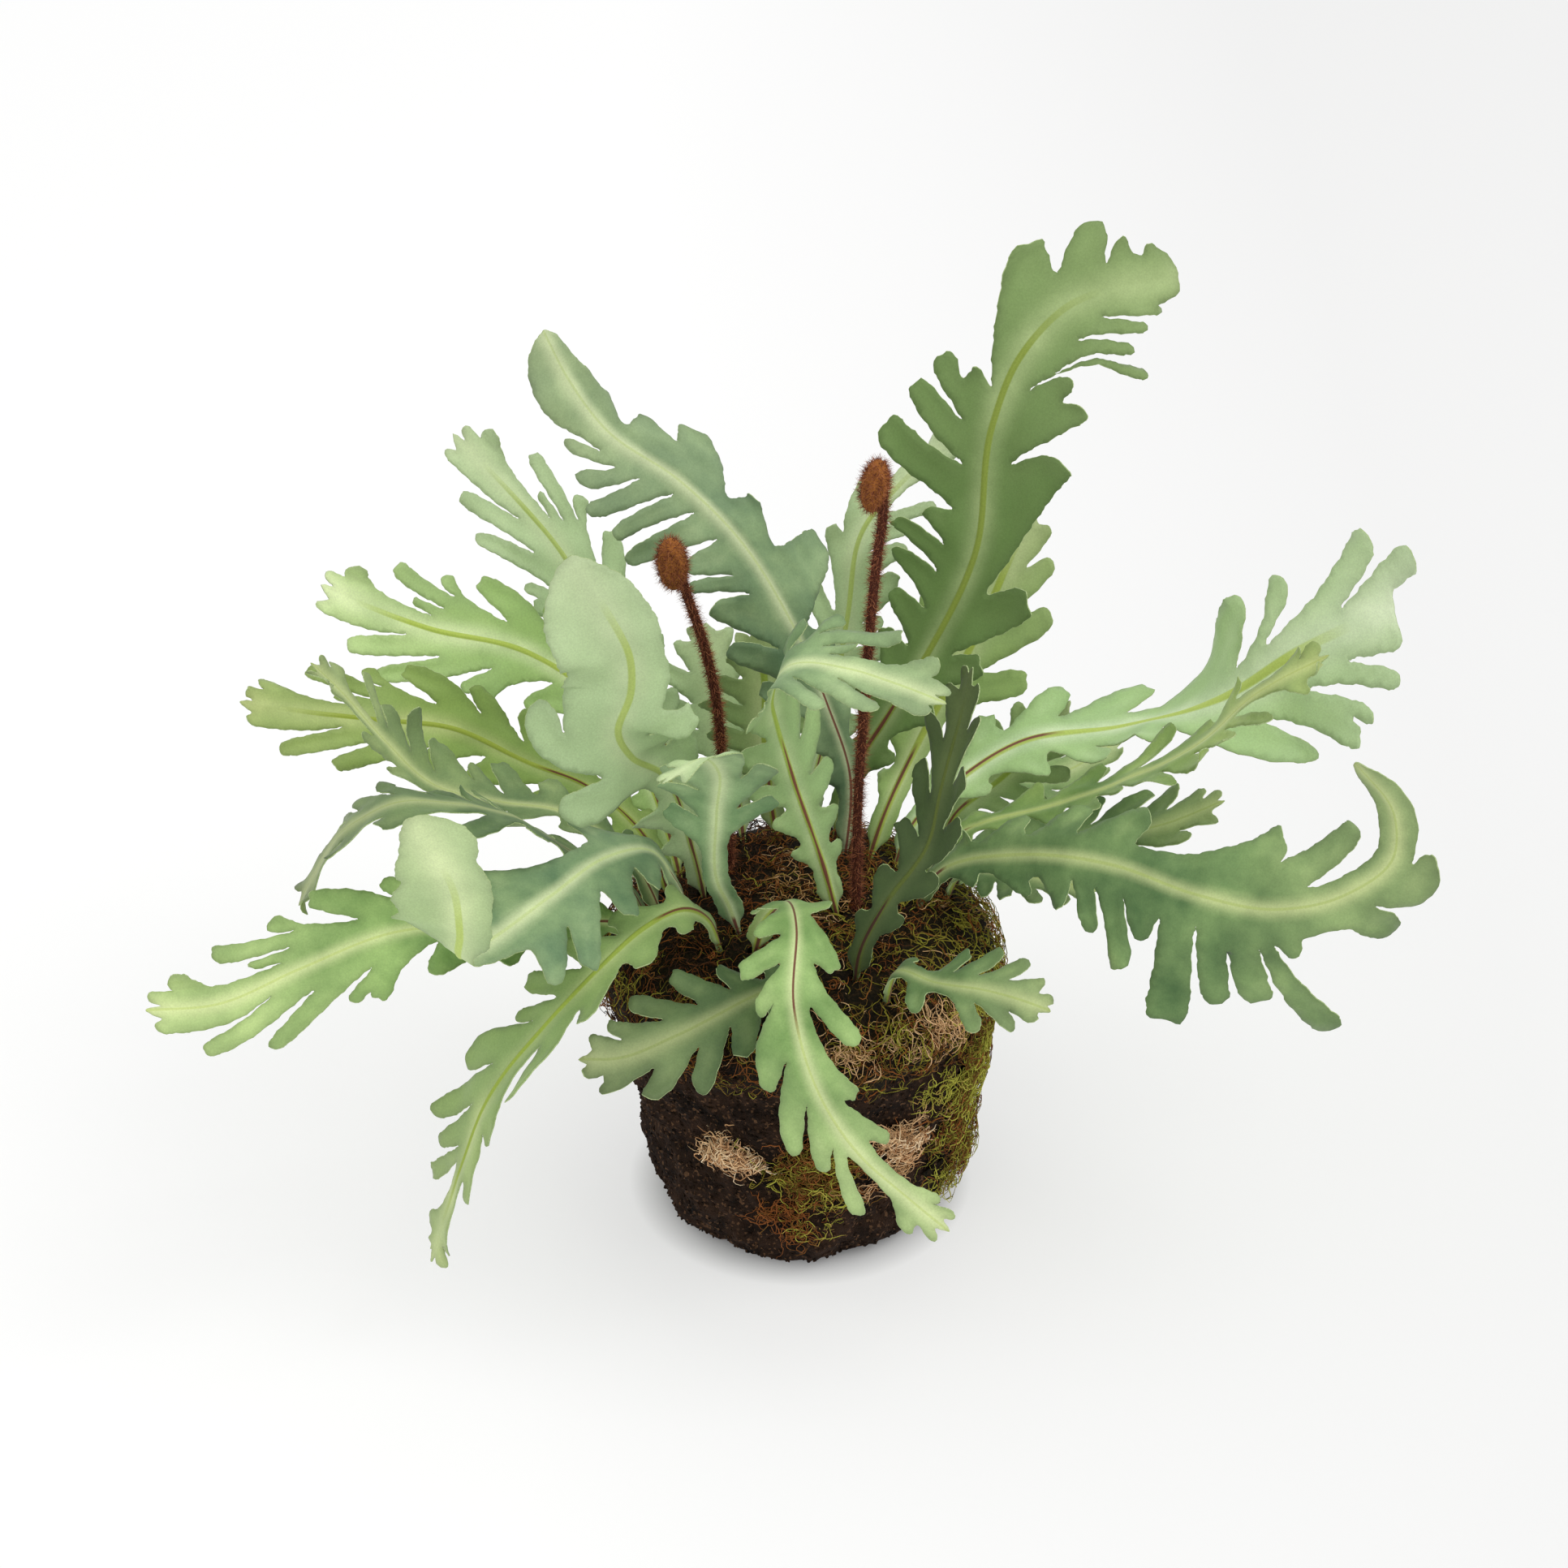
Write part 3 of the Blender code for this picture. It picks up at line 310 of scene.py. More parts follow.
def soil_material():
    """Dark soil whose colour changes from grain to grain, with a pale grain here and there."""
    made, tree, shader = new_material("soil", 0.95, 0.15)
    dark, middle, pale = colour(15, 9, 6), colour(56, 38, 26), colour(120, 88, 62)
    place = put(tree, "ShaderNodeTexCoord").outputs["Object"]
    grains = put(tree, "ShaderNodeTexVoronoi", {"Vector": place, "Scale": 1000.0})
    pick = put(tree, "ShaderNodeSeparateColor", {0: grains.outputs["Color"]}).outputs[0]
    shade = mixed(tree, ranged(tree, speckle(tree, 90, 5), 0.35, 0.7), dark, middle)
    shade = mixed(tree, ranged(tree, pick, 0.86, 0.97), shade, pale)
    shade = mixed(tree, times(tree, pick, pick, 0.5), shade, middle)
    height = maths(tree, "ADD", times(tree, speckle(tree, 420, 4, 0.65), 3.0), grains.outputs["Distance"])
    paint(tree, shader, shade, height, 0.9, 0.8)
    return made


soil = soil_material()
soil_ball = new_object("soil_ball", soil_mesh())
made_by(
    crumb_tree(), soil_ball, per_square_metre=CRUMBS_PER_SQUARE_MM / MM**2, size=CRUMB_SIZE * MM,
    lowest=CRUMBS_FROM * MM, seed=4, soil=soil,
)
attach(soil_ball, "root")
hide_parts("root_ball")


# The moss
# Dried sheet moss glued on the crown, down the right side and low on the front. Each piece is a thin felt
# mat with a tangle of fine curly strands over it, brown in the middle, olive green at the right.

# A strand goes on by its step, turns at each, keeps some of its last turn, and bobs up and down as it goes
STRAND_STEP = 1.6
STRAND_TURN = 0.55
TURN_KEPT = 0.7
STRAND_BOB = 0.8
LEAST_HEIGHT = 0.05
# It leans over with the surface by this share a step, and ends at a sharper edge than this, as a cosine, or
# near the floor
LEAN_SHARE = 0.6
SHARPEST_EDGE = -0.2
LOWEST_STRAND = 6
FEWEST_POINTS = 4
# How much thinner a strand is at its ends, as a share
STRAND_TAPER = 0.65
MOSS_LENGTHS = (10, 34)
# How green the moss is, as a share of its range of tone: MOSS_GREEN in the middle, 1 more at GREENER_OVER to
# the right, less behind the middle, by the first number at the second, and more or less in patches of this
# strength and size. Its strands differ by MOSS_SPREAD.
MOSS_GREEN = 0.42
GREENER_OVER = 190
BROWNER_BEHIND = (0.25, 60)
MOSS_PATCHES = (1.1, 13)
MOSS_SPREAD = 0.3
# Each mat: its number of strands, how thick they are, how high they may stand off it, and its range of tone
MOSS = {
    "moss_crown": {"count": 2150, "thick": (0.11, 0.3), "loose": 4.8, "tone": (0.0, 0.76), "seed": 31},
    "moss_band_right": {"count": 900, "thick": (0.11, 0.29), "loose": 5.4, "tone": (0.1, 0.98), "seed": 32},
    "moss_patch_front": {"count": 430, "thick": (0.12, 0.3), "loose": 4.4, "tone": (0.15, 0.95), "seed": 33},
}
# Tufts that are caught in the moss, as bearing in degrees, height, spread, number of strands, and their
# tone: rust at 0.3, olive at 0.75, bright green at 1, tan at 1.3 and pale fibre from 1.5 on
TUFTS = (
    (-48, 114, 12, 90, 1.6), (-40, 117, 12, 50, 1.55), (-81, 119, 11, 70, 1.6), (-72, 120, 9, 40, 1.55),
    (-54, 60, 9, 80, 1.55), (-59, 42, 7, 60, 1.5), (19, 126, 9, 60, 1.55), (8, 122, 8, 50, 1.5),
    (104, 129, 12, 60, 1.5), (-100, 127, 14, 90, 1.3), (150, 128, 14, 90, 1.35), (-95, 31, 7, 80, 0.3),
    (-92, 24, 6, 40, 0.28), (-52, 52, 12, 40, 0.3), (-41, 80, 9, 80, 1.0), (-86, 26, 6, 40, 1.0),
    (-30, 117, 9, 80, 0.95), (-10, 124, 12, 100, 0.95), (-60, 123, 9, 80, 0.85), (-150, 122, 12, 80, 0.7),
    (178, 113, 8, 60, 0.8), (140, 118, 12, 60, 0.75), (60, 120, 14, 80, 0.8),
)
TUFT_LENGTHS = (8, 20)
TUFT_THICK = (0.14, 0.26)
TUFT_LOOSE = 5.0
TUFT_SEED = 34
# How far from the axis a tuft's strands start, which is less and less on the crown
TUFT_REACH = 80
CROWN_REACH = 66
CROWN_FROM = 121
CROWN_SLOPE = 6
# At this height the way out of a mat begins to turn from sideways to upwards
MAT_SHOULDER = 112
MAT_SHOULDER_OVER = 12
# A pad's lumps and grains: how far they rise, and how large they are; it is sunk a little to make up for them
PAD_LUMPS = (0.7, 5)
PAD_GRAINS = (0.35, 1.8)
PAD_SINK = 0.3
# A pad's outer faces are those that look out of the ball at least this much, as a cosine
FACES_OUT = 0.25


def rough_pad(name, levels):
    """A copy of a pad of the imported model, cut finer and roughened."""
    bm = bmesh.new()
    bm.from_mesh(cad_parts[name].data)
    bmesh.ops.remove_doubles(bm, verts=bm.verts, dist=1e-6)
    for _ in range(levels):
        bmesh.ops.subdivide_edges(bm, edges=bm.edges, cuts=1, use_grid_fill=True)
    bmesh.ops.triangulate(bm, faces=bm.faces)
    bm.normal_update()
    moved = []
    for vertex in bm.verts:
        place = vertex.co / MM
        rise = PAD_LUMPS[0] * noise.fractal(place / PAD_LUMPS[1], 0.9, 2.0, 3)
        rise += PAD_GRAINS[0] * noise.noise(place / PAD_GRAINS[1])
        moved.append((vertex, vertex.normal * (rise - PAD_SINK) * MM))
    for vertex, step in moved:
        vertex.co += step
    return bm


def surface_of(*meshes):
    """The surfaces that strands wander over, for finding the nearest place on them."""
    points, faces = [], []
    for bm in meshes:
        first = len(points)
        bm.verts.index_update()
        points += [vertex.co / MM for vertex in bm.verts]
        faces += [[first + vertex.index for vertex in face.verts] for face in bm.faces]
    return BVHTree.FromPolygons(points, faces)


def strand(surface, place, up, length, loose, draw):
    """The points of one strand, which winds over the surface and stands a little off it."""
    way = up.cross(Vector([draw.gauss(0, 1) for _ in range(3)])).normalized()
    turn, height, points = 0.0, draw.uniform(0, loose), []
    for _ in range(round(length / STRAND_STEP)):
        points.append(place + up * height)
        turn = TURN_KEPT * turn + draw.gauss(0, STRAND_TURN)
        way = Matrix.Rotation(turn, 3, up) @ way
        nearest, normal, _, _ = surface.find_nearest(place + way * STRAND_STEP)
        is_stuck = (nearest - place).length < STRAND_STEP / 3
        if nearest.z < LOWEST_STRAND or is_stuck or normal.dot(up) < SHARPEST_EDGE:
            break
        place, up = nearest, up.lerp(normal, LEAN_SHARE).normalized()
        way = (way - up * way.dot(up)).normalized()
        height = min(max(height + draw.gauss(0, STRAND_BOB), LEAST_HEIGHT), loose)
    return points


def strands_from(starts, surface, lengths, loose, thick, tone_at, draw):
    """A strand from each start, with its thickness and its tone; those that end too soon are left out."""
    for place, up in starts:
        line = strand(surface, place, up, draw.uniform(*lengths), loose, draw)
        if len(line) >= FEWEST_POINTS:
            yield line, draw.uniform(*thick), tone_at(place)


def tangle(name, strands, look):
    """The strands as one piece of fine three-sided tubes, each thinner towards its ends."""
    points, edges, thick, tones = [], [], [], []
    for line, width, tone in strands:
        last = len(line) - 1
        edges += [(len(points) + k, len(points) + k + 1) for k in range(last)]
        points += [point * MM for point in line]
        thick += [width * MM * (1 - STRAND_TAPER * abs(2 * k / last - 1) ** 3) for k in range(last + 1)]
        tones += [tone] * len(line)
    mesh = bpy.data.meshes.new(name)
    mesh.from_pydata(points, edges, [])
    for label, values in (("thick", thick), ("tone", tones)):
        mesh.attributes.new(label, "FLOAT", "POINT").data.foreach_set("value", values)
    return made_by(strand_tubes, new_object(name, mesh), sides=3, fibre=look)


def strand_tree():
    """Lines made into thin strands, as round as their sides allow."""
    tree, given = geometry_tree("Strands", (("Sides", "Int"), ("Fibre", "Material")))
    thick = put(tree, "GeometryNodeInputNamedAttribute", {"Name": "thick"}, data_type="FLOAT").outputs[0]
    lines = put(tree, "GeometryNodeMeshToCurve", {0: given["Geometry"]}).outputs[0]
    ring = put(tree, "GeometryNodeCurvePrimitiveCircle", {"Resolution": given["Sides"], "Radius": 1.0})
    tubes = put(tree, "GeometryNodeCurveToMesh", {
        "Curve": lines, "Profile Curve": ring.outputs[0], "Scale": thick, "Fill Caps": True,
    }).outputs[0]
    smooth = put(tree, "GeometryNodeSetShadeSmooth", {0: tubes}).outputs[0]
    loose = put(tree, "GeometryNodeRealizeInstances", {0: smooth}).outputs[0]
    put(tree, "NodeGroupOutput", {0: with_material(tree, loose, given["Fibre"])})
    return tree


def fibre_material(name, stops, roughness):
    """Dry fibre whose colour runs from strand to strand with its tone, and varies along it."""
    made, tree, shader = new_material(name, roughness, 0.2)
    tone = put(tree, "ShaderNodeAttribute", attribute_name="tone").outputs["Fac"]
    shift = maths(tree, "ADD", tone, ranged(tree, speckle(tree, 260, 3), 0.3, 0.7, -0.12, 0.12))
    ramp = put(tree, "ShaderNodeValToRGB", {0: maths(tree, "DIVIDE", shift, 2.0)})
    while len(ramp.color_ramp.elements) < len(stops):
        ramp.color_ramp.elements.new(0.5)
    for element, (at, shade) in zip(ramp.color_ramp.elements, stops):
        element.position = at
        element.color = colour(*shade)
    paint(tree, shader, ramp.outputs[0])
    return made


def felt_material():
    """The felt under the strands: dark brown with green in it, kept darker than the moss so that the gaps
    between strands show painted shade.
    """
    made, tree, shader = new_material("moss_felt", 0.95, 0.15)
    fine = speckle(tree, 900, 3)
    broad = ranged(tree, speckle(tree, 60, 6), 0.4, 0.65)
    shade = mixed(tree, broad, colour(16, 11, 7), colour(26, 23, 10))
    shade = mixed(tree, ranged(tree, fine, 0.45, 0.75), shade, colour(52, 38, 20))
    paint(tree, shader, shade, fine)
    return made


def scatter(bm, count, draw):
    """Places spread evenly over the outer faces, each with the way that it faces."""
    faces = [
        face for face in bm.faces if face.normal.dot(off_the_axis(face.calc_center_median())) > FACES_OUT
    ]
    sizes = [face.calc_area() for face in faces]
    for face in draw.choices(faces, sizes, k=count):
        a, b, c = [vertex.co / MM for vertex in face.verts]
        s, t = sorted((draw.random(), draw.random()))
        yield a * s + b * (t - s) + c * (1 - t), face.normal.copy()


def off_the_axis(place):
    """The way out of the ball at this place, in metres: up on the crown, sideways below it."""
    side = Vector((place.x, place.y, 0)).normalized()
    return way_out(side, place.z / MM, MAT_SHOULDER, MAT_SHOULDER_OVER)


def moss_tone(place, low, high, draw):
    """Brown at the back and the left, greener towards the right, in patches."""
    green = MOSS_GREEN + place.x / GREENER_OVER
    green -= BROWNER_BEHIND[0] * max(0, place.y) / BROWNER_BEHIND[1]
    green += MOSS_PATCHES[0] * noise.noise(place / MOSS_PATCHES[1])
    return low + (high - low) * clamp(green + draw.gauss(0, MOSS_SPREAD))


def add_moss(name, spec, surface, look, felt):
    draw = random.Random(spec["seed"])
    strands = strands_from(
        scatter(pads[name], spec["count"], draw), surface, MOSS_LENGTHS, spec["loose"], spec["thick"],
        lambda place: moss_tone(place, *spec["tone"], draw), draw,
    )
    strands = tangle(name + "_strands", strands, look)
    mat = mesh_of(name + "_felt", pads[name].copy())
    piece = new_object(name.replace("moss", "sheet_moss"), mat)
    both = bmesh.new()
    both.from_mesh(mat)
    both.verts.layers.float.new("tone")
    both.from_mesh(strands.data)
    both.faces.ensure_lookup_table()
    for face in both.faces[len(mat.polygons):]:
        face.material_index = 1
    both.to_mesh(mat)
    both.free()
    mat.materials.append(felt)
    mat.materials.append(look)
    bpy.data.objects.remove(strands)
    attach(piece, "root")
    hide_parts(name)


def tuft_starts(surface, bearing, height, spread, count, draw):
    for _ in range(count):
        angle = math.radians(bearing) + draw.gauss(0, spread / 110)
        high = height + draw.gauss(0, spread / 3)
        reach = TUFT_REACH if high < CROWN_FROM else CROWN_REACH - (high - CROWN_FROM) * CROWN_SLOPE
        start = Vector((reach * math.cos(angle), reach * math.sin(angle), high))
        place, up, _, _ = surface.find_nearest(start + Vector((draw.gauss(0, spread / 3), 0, 0)))
        yield place, up


def all_tufts(surface, draw):
    for *where, tone in TUFTS:
        yield from strands_from(
            tuft_starts(surface, *where, draw), surface, TUFT_LENGTHS, TUFT_LOOSE, TUFT_THICK,
            lambda _: tone + draw.uniform(-0.12, 0.12), draw,
        )


strand_tubes = strand_tree()
bare_ball = bmesh.new()
bare_ball.from_mesh(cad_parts["root_ball"].data)
bmesh.ops.remove_doubles(bare_ball, verts=bare_ball.verts, dist=1e-6)
pads = {name: rough_pad(name, 1 if name == "moss_crown" else 2) for name in MOSS}
moss_look = fibre_material("moss", (
    (0.0, (46, 28, 16)), (0.14, (150, 88, 40)), (0.26, (108, 82, 34)), (0.38, (146, 138, 48)),
    (0.5, (180, 182, 72)), (0.62, (186, 140, 84)), (0.8, (222, 182, 136)),
), 0.9)
felt = felt_material()
mossy_ball = surface_of(bare_ball, *pads.values())
for name, spec in MOSS.items():
    add_moss(name, spec, mossy_ball, moss_look, felt)
moss_tufts = tangle("moss_tufts", all_tufts(mossy_ball, random.Random(TUFT_SEED)), moss_look)
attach(moss_tufts, "root")


# The wood fibre
# Two tufts of pale shredded wood pressed into the ball's front and right side: fine pinkish-tan threads in
# a loose knot.

FIBRE = {
    "fibre_tuft_front": {"count": 430, "seed": 41},
    "fibre_tuft_right": {"count": 400, "seed": 42},
}
FIBRE_LENGTHS = (6, 17)
FIBRE_THICK = (0.15, 0.32)
FIBRE_LOOSE = 5.0
FIBRE_TONES = (0.1, 1.7)

fibre_look = fibre_material("wood_fibre", (
    (0.0, (128, 84, 52)), (0.3, (214, 166, 118)), (0.6, (242, 208, 162)), (0.9, (252, 234, 202)),
), 0.85)
for name, spec in FIBRE.items():
    draw = random.Random(spec["seed"])
    pad = rough_pad(name, 2)
    strands = strands_from(
        scatter(pad, spec["count"], draw), surface_of(bare_ball, pad), FIBRE_LENGTHS, FIBRE_LOOSE,
        FIBRE_THICK, lambda _: draw.uniform(*FIBRE_TONES), draw,
    )
    piece = tangle(name.replace("tuft", "knot"), strands, fibre_look)
    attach(piece, "root")
    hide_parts(name)


# The leaves
# Twenty-eight cloth fronds, each die-cut with its lobes, dyed, and ironed onto a wire. The printed side has
# a cream glow along its rib, the other side a raised rib where the wire runs. They are made as the source
# makes them, from the same leaves, roots and ribs, with a finer edge and a finer sheet.

# The stem goes down into the soil and thickens the leaf's foot, up to STEM_END along the rib
STEM_DEPTH = 15.0
BARE_STEM = 28.0
STEM_HALF_THICKNESS = 1.0
STEM_HALF_WIDTH = 1.6
STEM_END = 48
STEM_FADES_OVER = 22
STEPS_BETWEEN_POINTS = 12
# A blade has its full width from this far past its bare stem, and its full cup this far from its rib
FULL_WIDTH_AFTER = 45.0
EDGE_AT = 30.0
# How broad a lobe's curl is beside the lobe, and how far along the lobe it goes on growing
CURL_SPREAD = 0.7
CURL_GROWS_TO = 1.2
# The groove along a lobe, which is full on a lobe of this width or more
GROOVE_DEPTH = 0.9
GROOVE_SPREAD = 0.3
FULL_GROOVE_WIDTH = 10
# The blade's small waves and its crumpling; the wire keeps it flat near the rib
WAVE_HEIGHT = 1.5
WAVE_LENGTH = 41.0
CRUMPLE = 1.6
CRUMPLE_LENGTH = 17
CRUMPLE_WIDTH = 11
STIFF_TO = 6
SHEET_THICKNESS = 0.42
# The cut edge wanders by these amounts over these lengths, and is frayed, less so on the stem
EDGE_STEP = 1.2
EDGE_WANDERS = ((0.2, 7.1), (0.1, 2.9))
FRAY = 0.06
STEM_FRAY = 0.3
# The sheet's points: rows beside the rib, then a net as wide as the widest leaf. Both keep clear of the cut
# edge, the rows by millimetres and the net by a share of its step.
SHEET_STEP = 2.3
ROW_SPACING = 0.87
FIRST_ROW = 2.0
WIDEST = 60
RIB_ROWS = (0.0, 0.45, 0.9, 1.3, 1.8, 2.8)
RIB_CLEARANCE = 0.45
NET_CLEARANCE = 0.45
# The ridge over the wire gets lower and narrower by these shares from root to tip, and ends before the tip
RIB_HEIGHT = 1.1
RIB_WIDTH = 1.4
RIB_LOWERS = 0.75
RIB_NARROWS = 0.45
RIB_END = 0.9
RIB_ENDS_OVER = 0.12
# How wide the glow is beside the rib, low on the leaf and near its tip. It widens from GLOW_FROM along the
# leaf to GLOW_TO from its tip. The lobes glow too, by this much and this far out from the rib.
GLOW_SPREADS = {"front": (1.9, 4.4), "back": (2.6, 7)}
GLOW_FROM = 40
GLOW_TO = 20
LOBE_GLOW = 0.4
LOBE_GLOW_TO = 26
# What each point of a leaf knows for its print: its place, its side, its glow, how light and how blue its
# frond is (the lightness partly dye, partly painted light and shade), how far up its maroon line runs, and
# its depth from the edge
LEAF_VALUES = ("along", "out", "glow", "back", "light", "blue", "maroon_to", "depth")

# The ends that a lobe may have, each as angles round its end and how far out the edge lies there beside half
# of the lobe's width: round, or with a nick between two teeth where the lobe is wider than TOOTHED_FROM
TOOTHED_FROM = 7.5
LOBE_ENDS = (
    ((80, 1), (27, 1), (-27, 1), (-80, 1)),
    ((80, 0.97), (42, 1.06), (8, 0.78), (-28, 1.06), (-78, 0.94)),
    ((78, 0.96), (32, 1.08), (-24, 0.92), (-80, 0.96)),
    ((78, 0.94), (30, 1.06), (-10, 0.8), (-42, 1.05), (-80, 0.97)),
)

# The nine leaves that the fronds are cut as, flat and at full size. Each side runs from the stem to the
# tip, as (place along the rib, distance from it) on a notch or a plain stretch of the edge, and as (place
# along the rib, distance from it, width) at the end of a lobe.
STEM_OUTLINE = ((0, 1.4), (22, 1.5), (28, 4.6))
FAN_LEAF = {
    "length": 243,
    "left": (
        (46, 5.2), (57, 11, 6), (61, 6), (78, 15, 7), (80, 7), (99, 21, 8), (95, 8), (131, 23, 8), (124, 7.5),
        (143, 19), (157, 30, 9), (160, 25), (167, 26, 6), (154, 13), (202, 29, 7), (178, 12), (222, 21.5, 8),
        (194, 6), (208, 9.5), (228, 11.5), (239, 8.5, 6), (236, 4.5),
    ),
    "right": (
        (42, 5), (52, 10, 6), (57, 5.8), (71, 14, 7), (75, 7), (93, 19, 8), (92, 8), (118, 24, 8), (111, 9),
        (141, 24, 7), (133, 12), (151, 25), (166, 28, 9), (152, 11), (172, 19), (184, 26, 7), (176, 17.5),
        (211, 22, 8), (180, 11), (197, 10.5, 3), (185, 6.5), (214, 9), (233, 12.5, 6), (231, 8.5),
        (241, 6, 5), (236, 2),
    ),
    "end": 1,
}
OPEN_LEAF = {
    "length": 243,
    "left": (
        (46, 5.2), (57, 11, 6), (62, 6), (80, 15, 8), (82, 7), (105, 20, 8), (101, 8.5), (130, 22, 9),
        (124, 9), (148, 17), (189, 20, 8), (173, 6), (192, 11), (207, 18.5, 7), (190, 6), (213, 10),
        (245, 17.5, 7), (222, 5), (257, 9, 7), (243, 3),
    ),
    "right": (
        (52, 5.4), (66, 12, 7), (70, 6.6), (92, 16, 8), (94, 8), (118, 19, 9), (112, 9), (146, 20, 9),
        (142, 9), (187, 26, 5), (176, 11), (212, 27, 8), (212, 21), (220, 23, 5), (198, 10), (214, 13),
        (233, 16.5, 5), (217, 7.5), (238, 9), (240, 4),
    ),
    "end": 2,
}
SPOON_LEAF = {
    "length": 270,
    "left": (
        (46, 5.4), (57, 11, 6), (62, 6.2), (80, 16, 8), (82, 8), (104, 22, 9), (99, 9), (127, 27, 10),
        (118, 10), (147, 26, 9), (143, 9.5), (161, 29, 5), (150, 8), (168, 25, 7), (167, 7), (187, 38, 7),
        (180, 6), (201, 34, 7), (190, 6), (213, 31.5, 5), (204, 8.5), (220, 23, 6), (213, 10), (222, 14.5),
        (229, 15.5, 5), (220, 8), (228, 10), (236, 14), (245, 16), (250, 15.5), (257, 13.5), (266, 8),
    ),
    "right": (
        (50, 5.6), (65, 13, 7), (70, 6.6), (90, 18, 9), (93, 8.5), (112, 24, 9), (120, 10), (140, 54, 14),
        (152, 18), (169, 28, 8), (175, 15), (184, 32), (197, 39, 16), (200, 22), (214, 27, 9), (219, 12),
        (232, 19), (237, 17), (246, 16), (251, 13.5), (260, 10), (266, 7),
    ),
    "end": 0,
}
SPADE_LEAF = {
    "length": 270,
    "left": (
        (50, 5.4), (64, 12, 7), (68, 6.4), (90, 18, 9), (92, 8), (118, 24, 10), (117, 10), (146, 29, 11),
        (145, 12), (174, 27, 10), (168, 17), (180, 20), (193, 21), (206, 19), (219, 20.5), (233, 19.5),
        (245, 18.5), (257, 15), (267, 9.5), (273, 5),
    ),
    "right": (
        (44, 5.2), (54, 11, 6), (60, 6.2), (78, 15, 8), (80, 7.6), (104, 20, 9), (102, 9.5), (130, 24, 10),
        (128, 12), (158, 27, 10), (156, 12), (190, 27, 10), (188, 14), (201, 15), (214, 13.5), (227, 15.5),
        (241, 14.5), (251, 13), (262, 9), (271, 4.5),
    ),
    "end": -6,
}
ROUND_LEAF = {
    "length": 270,
    "left": (
        (50, 5.4), (64, 12, 7), (68, 6.4), (90, 18, 9), (92, 8), (118, 24, 10), (117, 10), (148, 27, 10),
        (142, 12), (165, 23, 9), (164, 11), (180, 8), (196, 5.5), (203, 6.5), (210, 10), (225, 11),
        (241, 13), (248, 12.5), (256, 16), (267, 14), (274, 7),
    ),
    "right": (
        (44, 5.2), (54, 11, 6), (60, 6.2), (78, 15, 8), (80, 7.6), (104, 20, 9), (102, 9.5), (130, 24, 10),
        (128, 12), (158, 25, 10), (156, 12), (180, 9), (195, 5.5), (202, 13), (207, 19), (214, 21.5),
        (220, 19), (228, 20.5), (238, 18.5), (244, 15), (252, 14.5), (262, 9), (272, 4),
    ),
    "end": -6,
}
TALL_LEAF = {
    "length": 295,
    "left": (
        (46, 5.2), (59, 11, 6), (62, 6), (84, 16, 8), (84, 7.5), (107, 21, 8), (106, 8.5), (124, 25, 7),
        (124, 10), (143, 31, 7), (140, 12), (161, 34, 9), (153, 13), (170, 22, 7), (170, 12), (199, 40, 10),
        (189, 9), (212, 33, 8), (204, 12), (223, 27, 9), (218, 16), (224, 13, 4), (219, 5), (240, 16),
        (259, 27, 9), (260, 12.5), (274, 25.5, 9), (274, 9.5), (281, 17.5, 4), (284, 11),
        (290, 13, 7), (297, 6),
    ),
    "right": (
        (50, 5.4), (64, 12, 7), (70, 6.4), (92, 17, 9), (94, 8), (120, 23, 10), (114, 9), (150, 28, 13),
        (142, 10), (162, 16), (180, 26), (203, 33, 13), (192, 10), (214, 27), (229, 32, 9), (226, 22.5),
        (239, 21.5, 6), (224, 9), (279, 34, 4), (236, 14.5), (277, 23.5, 4), (253, 12.5), (284, 16.5, 3.5),
        (268, 9), (290, 11, 3.5), (291, 8.5), (296, 7),
    ),
    "end": -3,
}
BROAD_LEAF = {
    "length": 270,
    "left": (
        (46, 5.2), (57, 10, 6), (63, 6), (80, 14, 7), (84, 7), (104, 19, 8), (104, 9), (128, 22, 9),
        (126, 10), (146, 14), (164, 24), (187, 29, 16), (188, 20), (230, 24, 10), (196, 8), (216, 8),
        (236, 9), (246, 11), (256, 10), (266, 6),
    ),
    "right": (
        (50, 5.4), (64, 10, 6), (70, 6.4), (86, 13, 6), (90, 7.5), (104, 19, 6), (106, 8), (117, 25, 6),
        (116, 9.5), (136, 36, 9), (128, 10), (140, 23, 7), (144, 13), (152, 51, 11), (156, 12), (165, 41, 7),
        (167, 18), (175, 40, 8), (176.5, 17), (189, 57, 7.5), (181, 15), (187, 21, 5), (190, 14), (203, 14),
        (215, 25, 12), (215, 10.5), (234, 22, 13), (232, 9), (246, 11), (256, 10), (266, 6),
    ),
    "end": 0,
}
SLIM_LEAF = {
    "length": 235,
    "left": (
        (50, 5.4), (64, 12, 7), (68, 6), (88, 18, 8), (90, 7.5), (115, 20, 8), (112, 9), (148, 26, 9),
        (130, 7.5), (151, 11), (170, 15, 8), (168, 9), (194, 15, 6), (188, 8), (211, 6.5), (224, 9, 5),
        (222, 5), (232, 8, 5), (230, 3),
    ),
    "right": (
        (46, 5.2), (57, 11, 6), (62, 6), (80, 16, 7), (82, 6.5), (98, 20, 8), (100, 7.5), (118, 26, 8),
        (114, 6.5), (130, 18, 6), (126, 8), (141, 22), (156, 24, 8), (147, 9), (165, 23), (177, 25.5, 8),
        (164, 8), (188, 19.5, 6), (182, 8), (207, 23, 7), (188, 5), (210, 6), (223, 13, 7), (225, 7),
        (233, 8, 5), (230, 3),
    ),
    "end": 0,
}
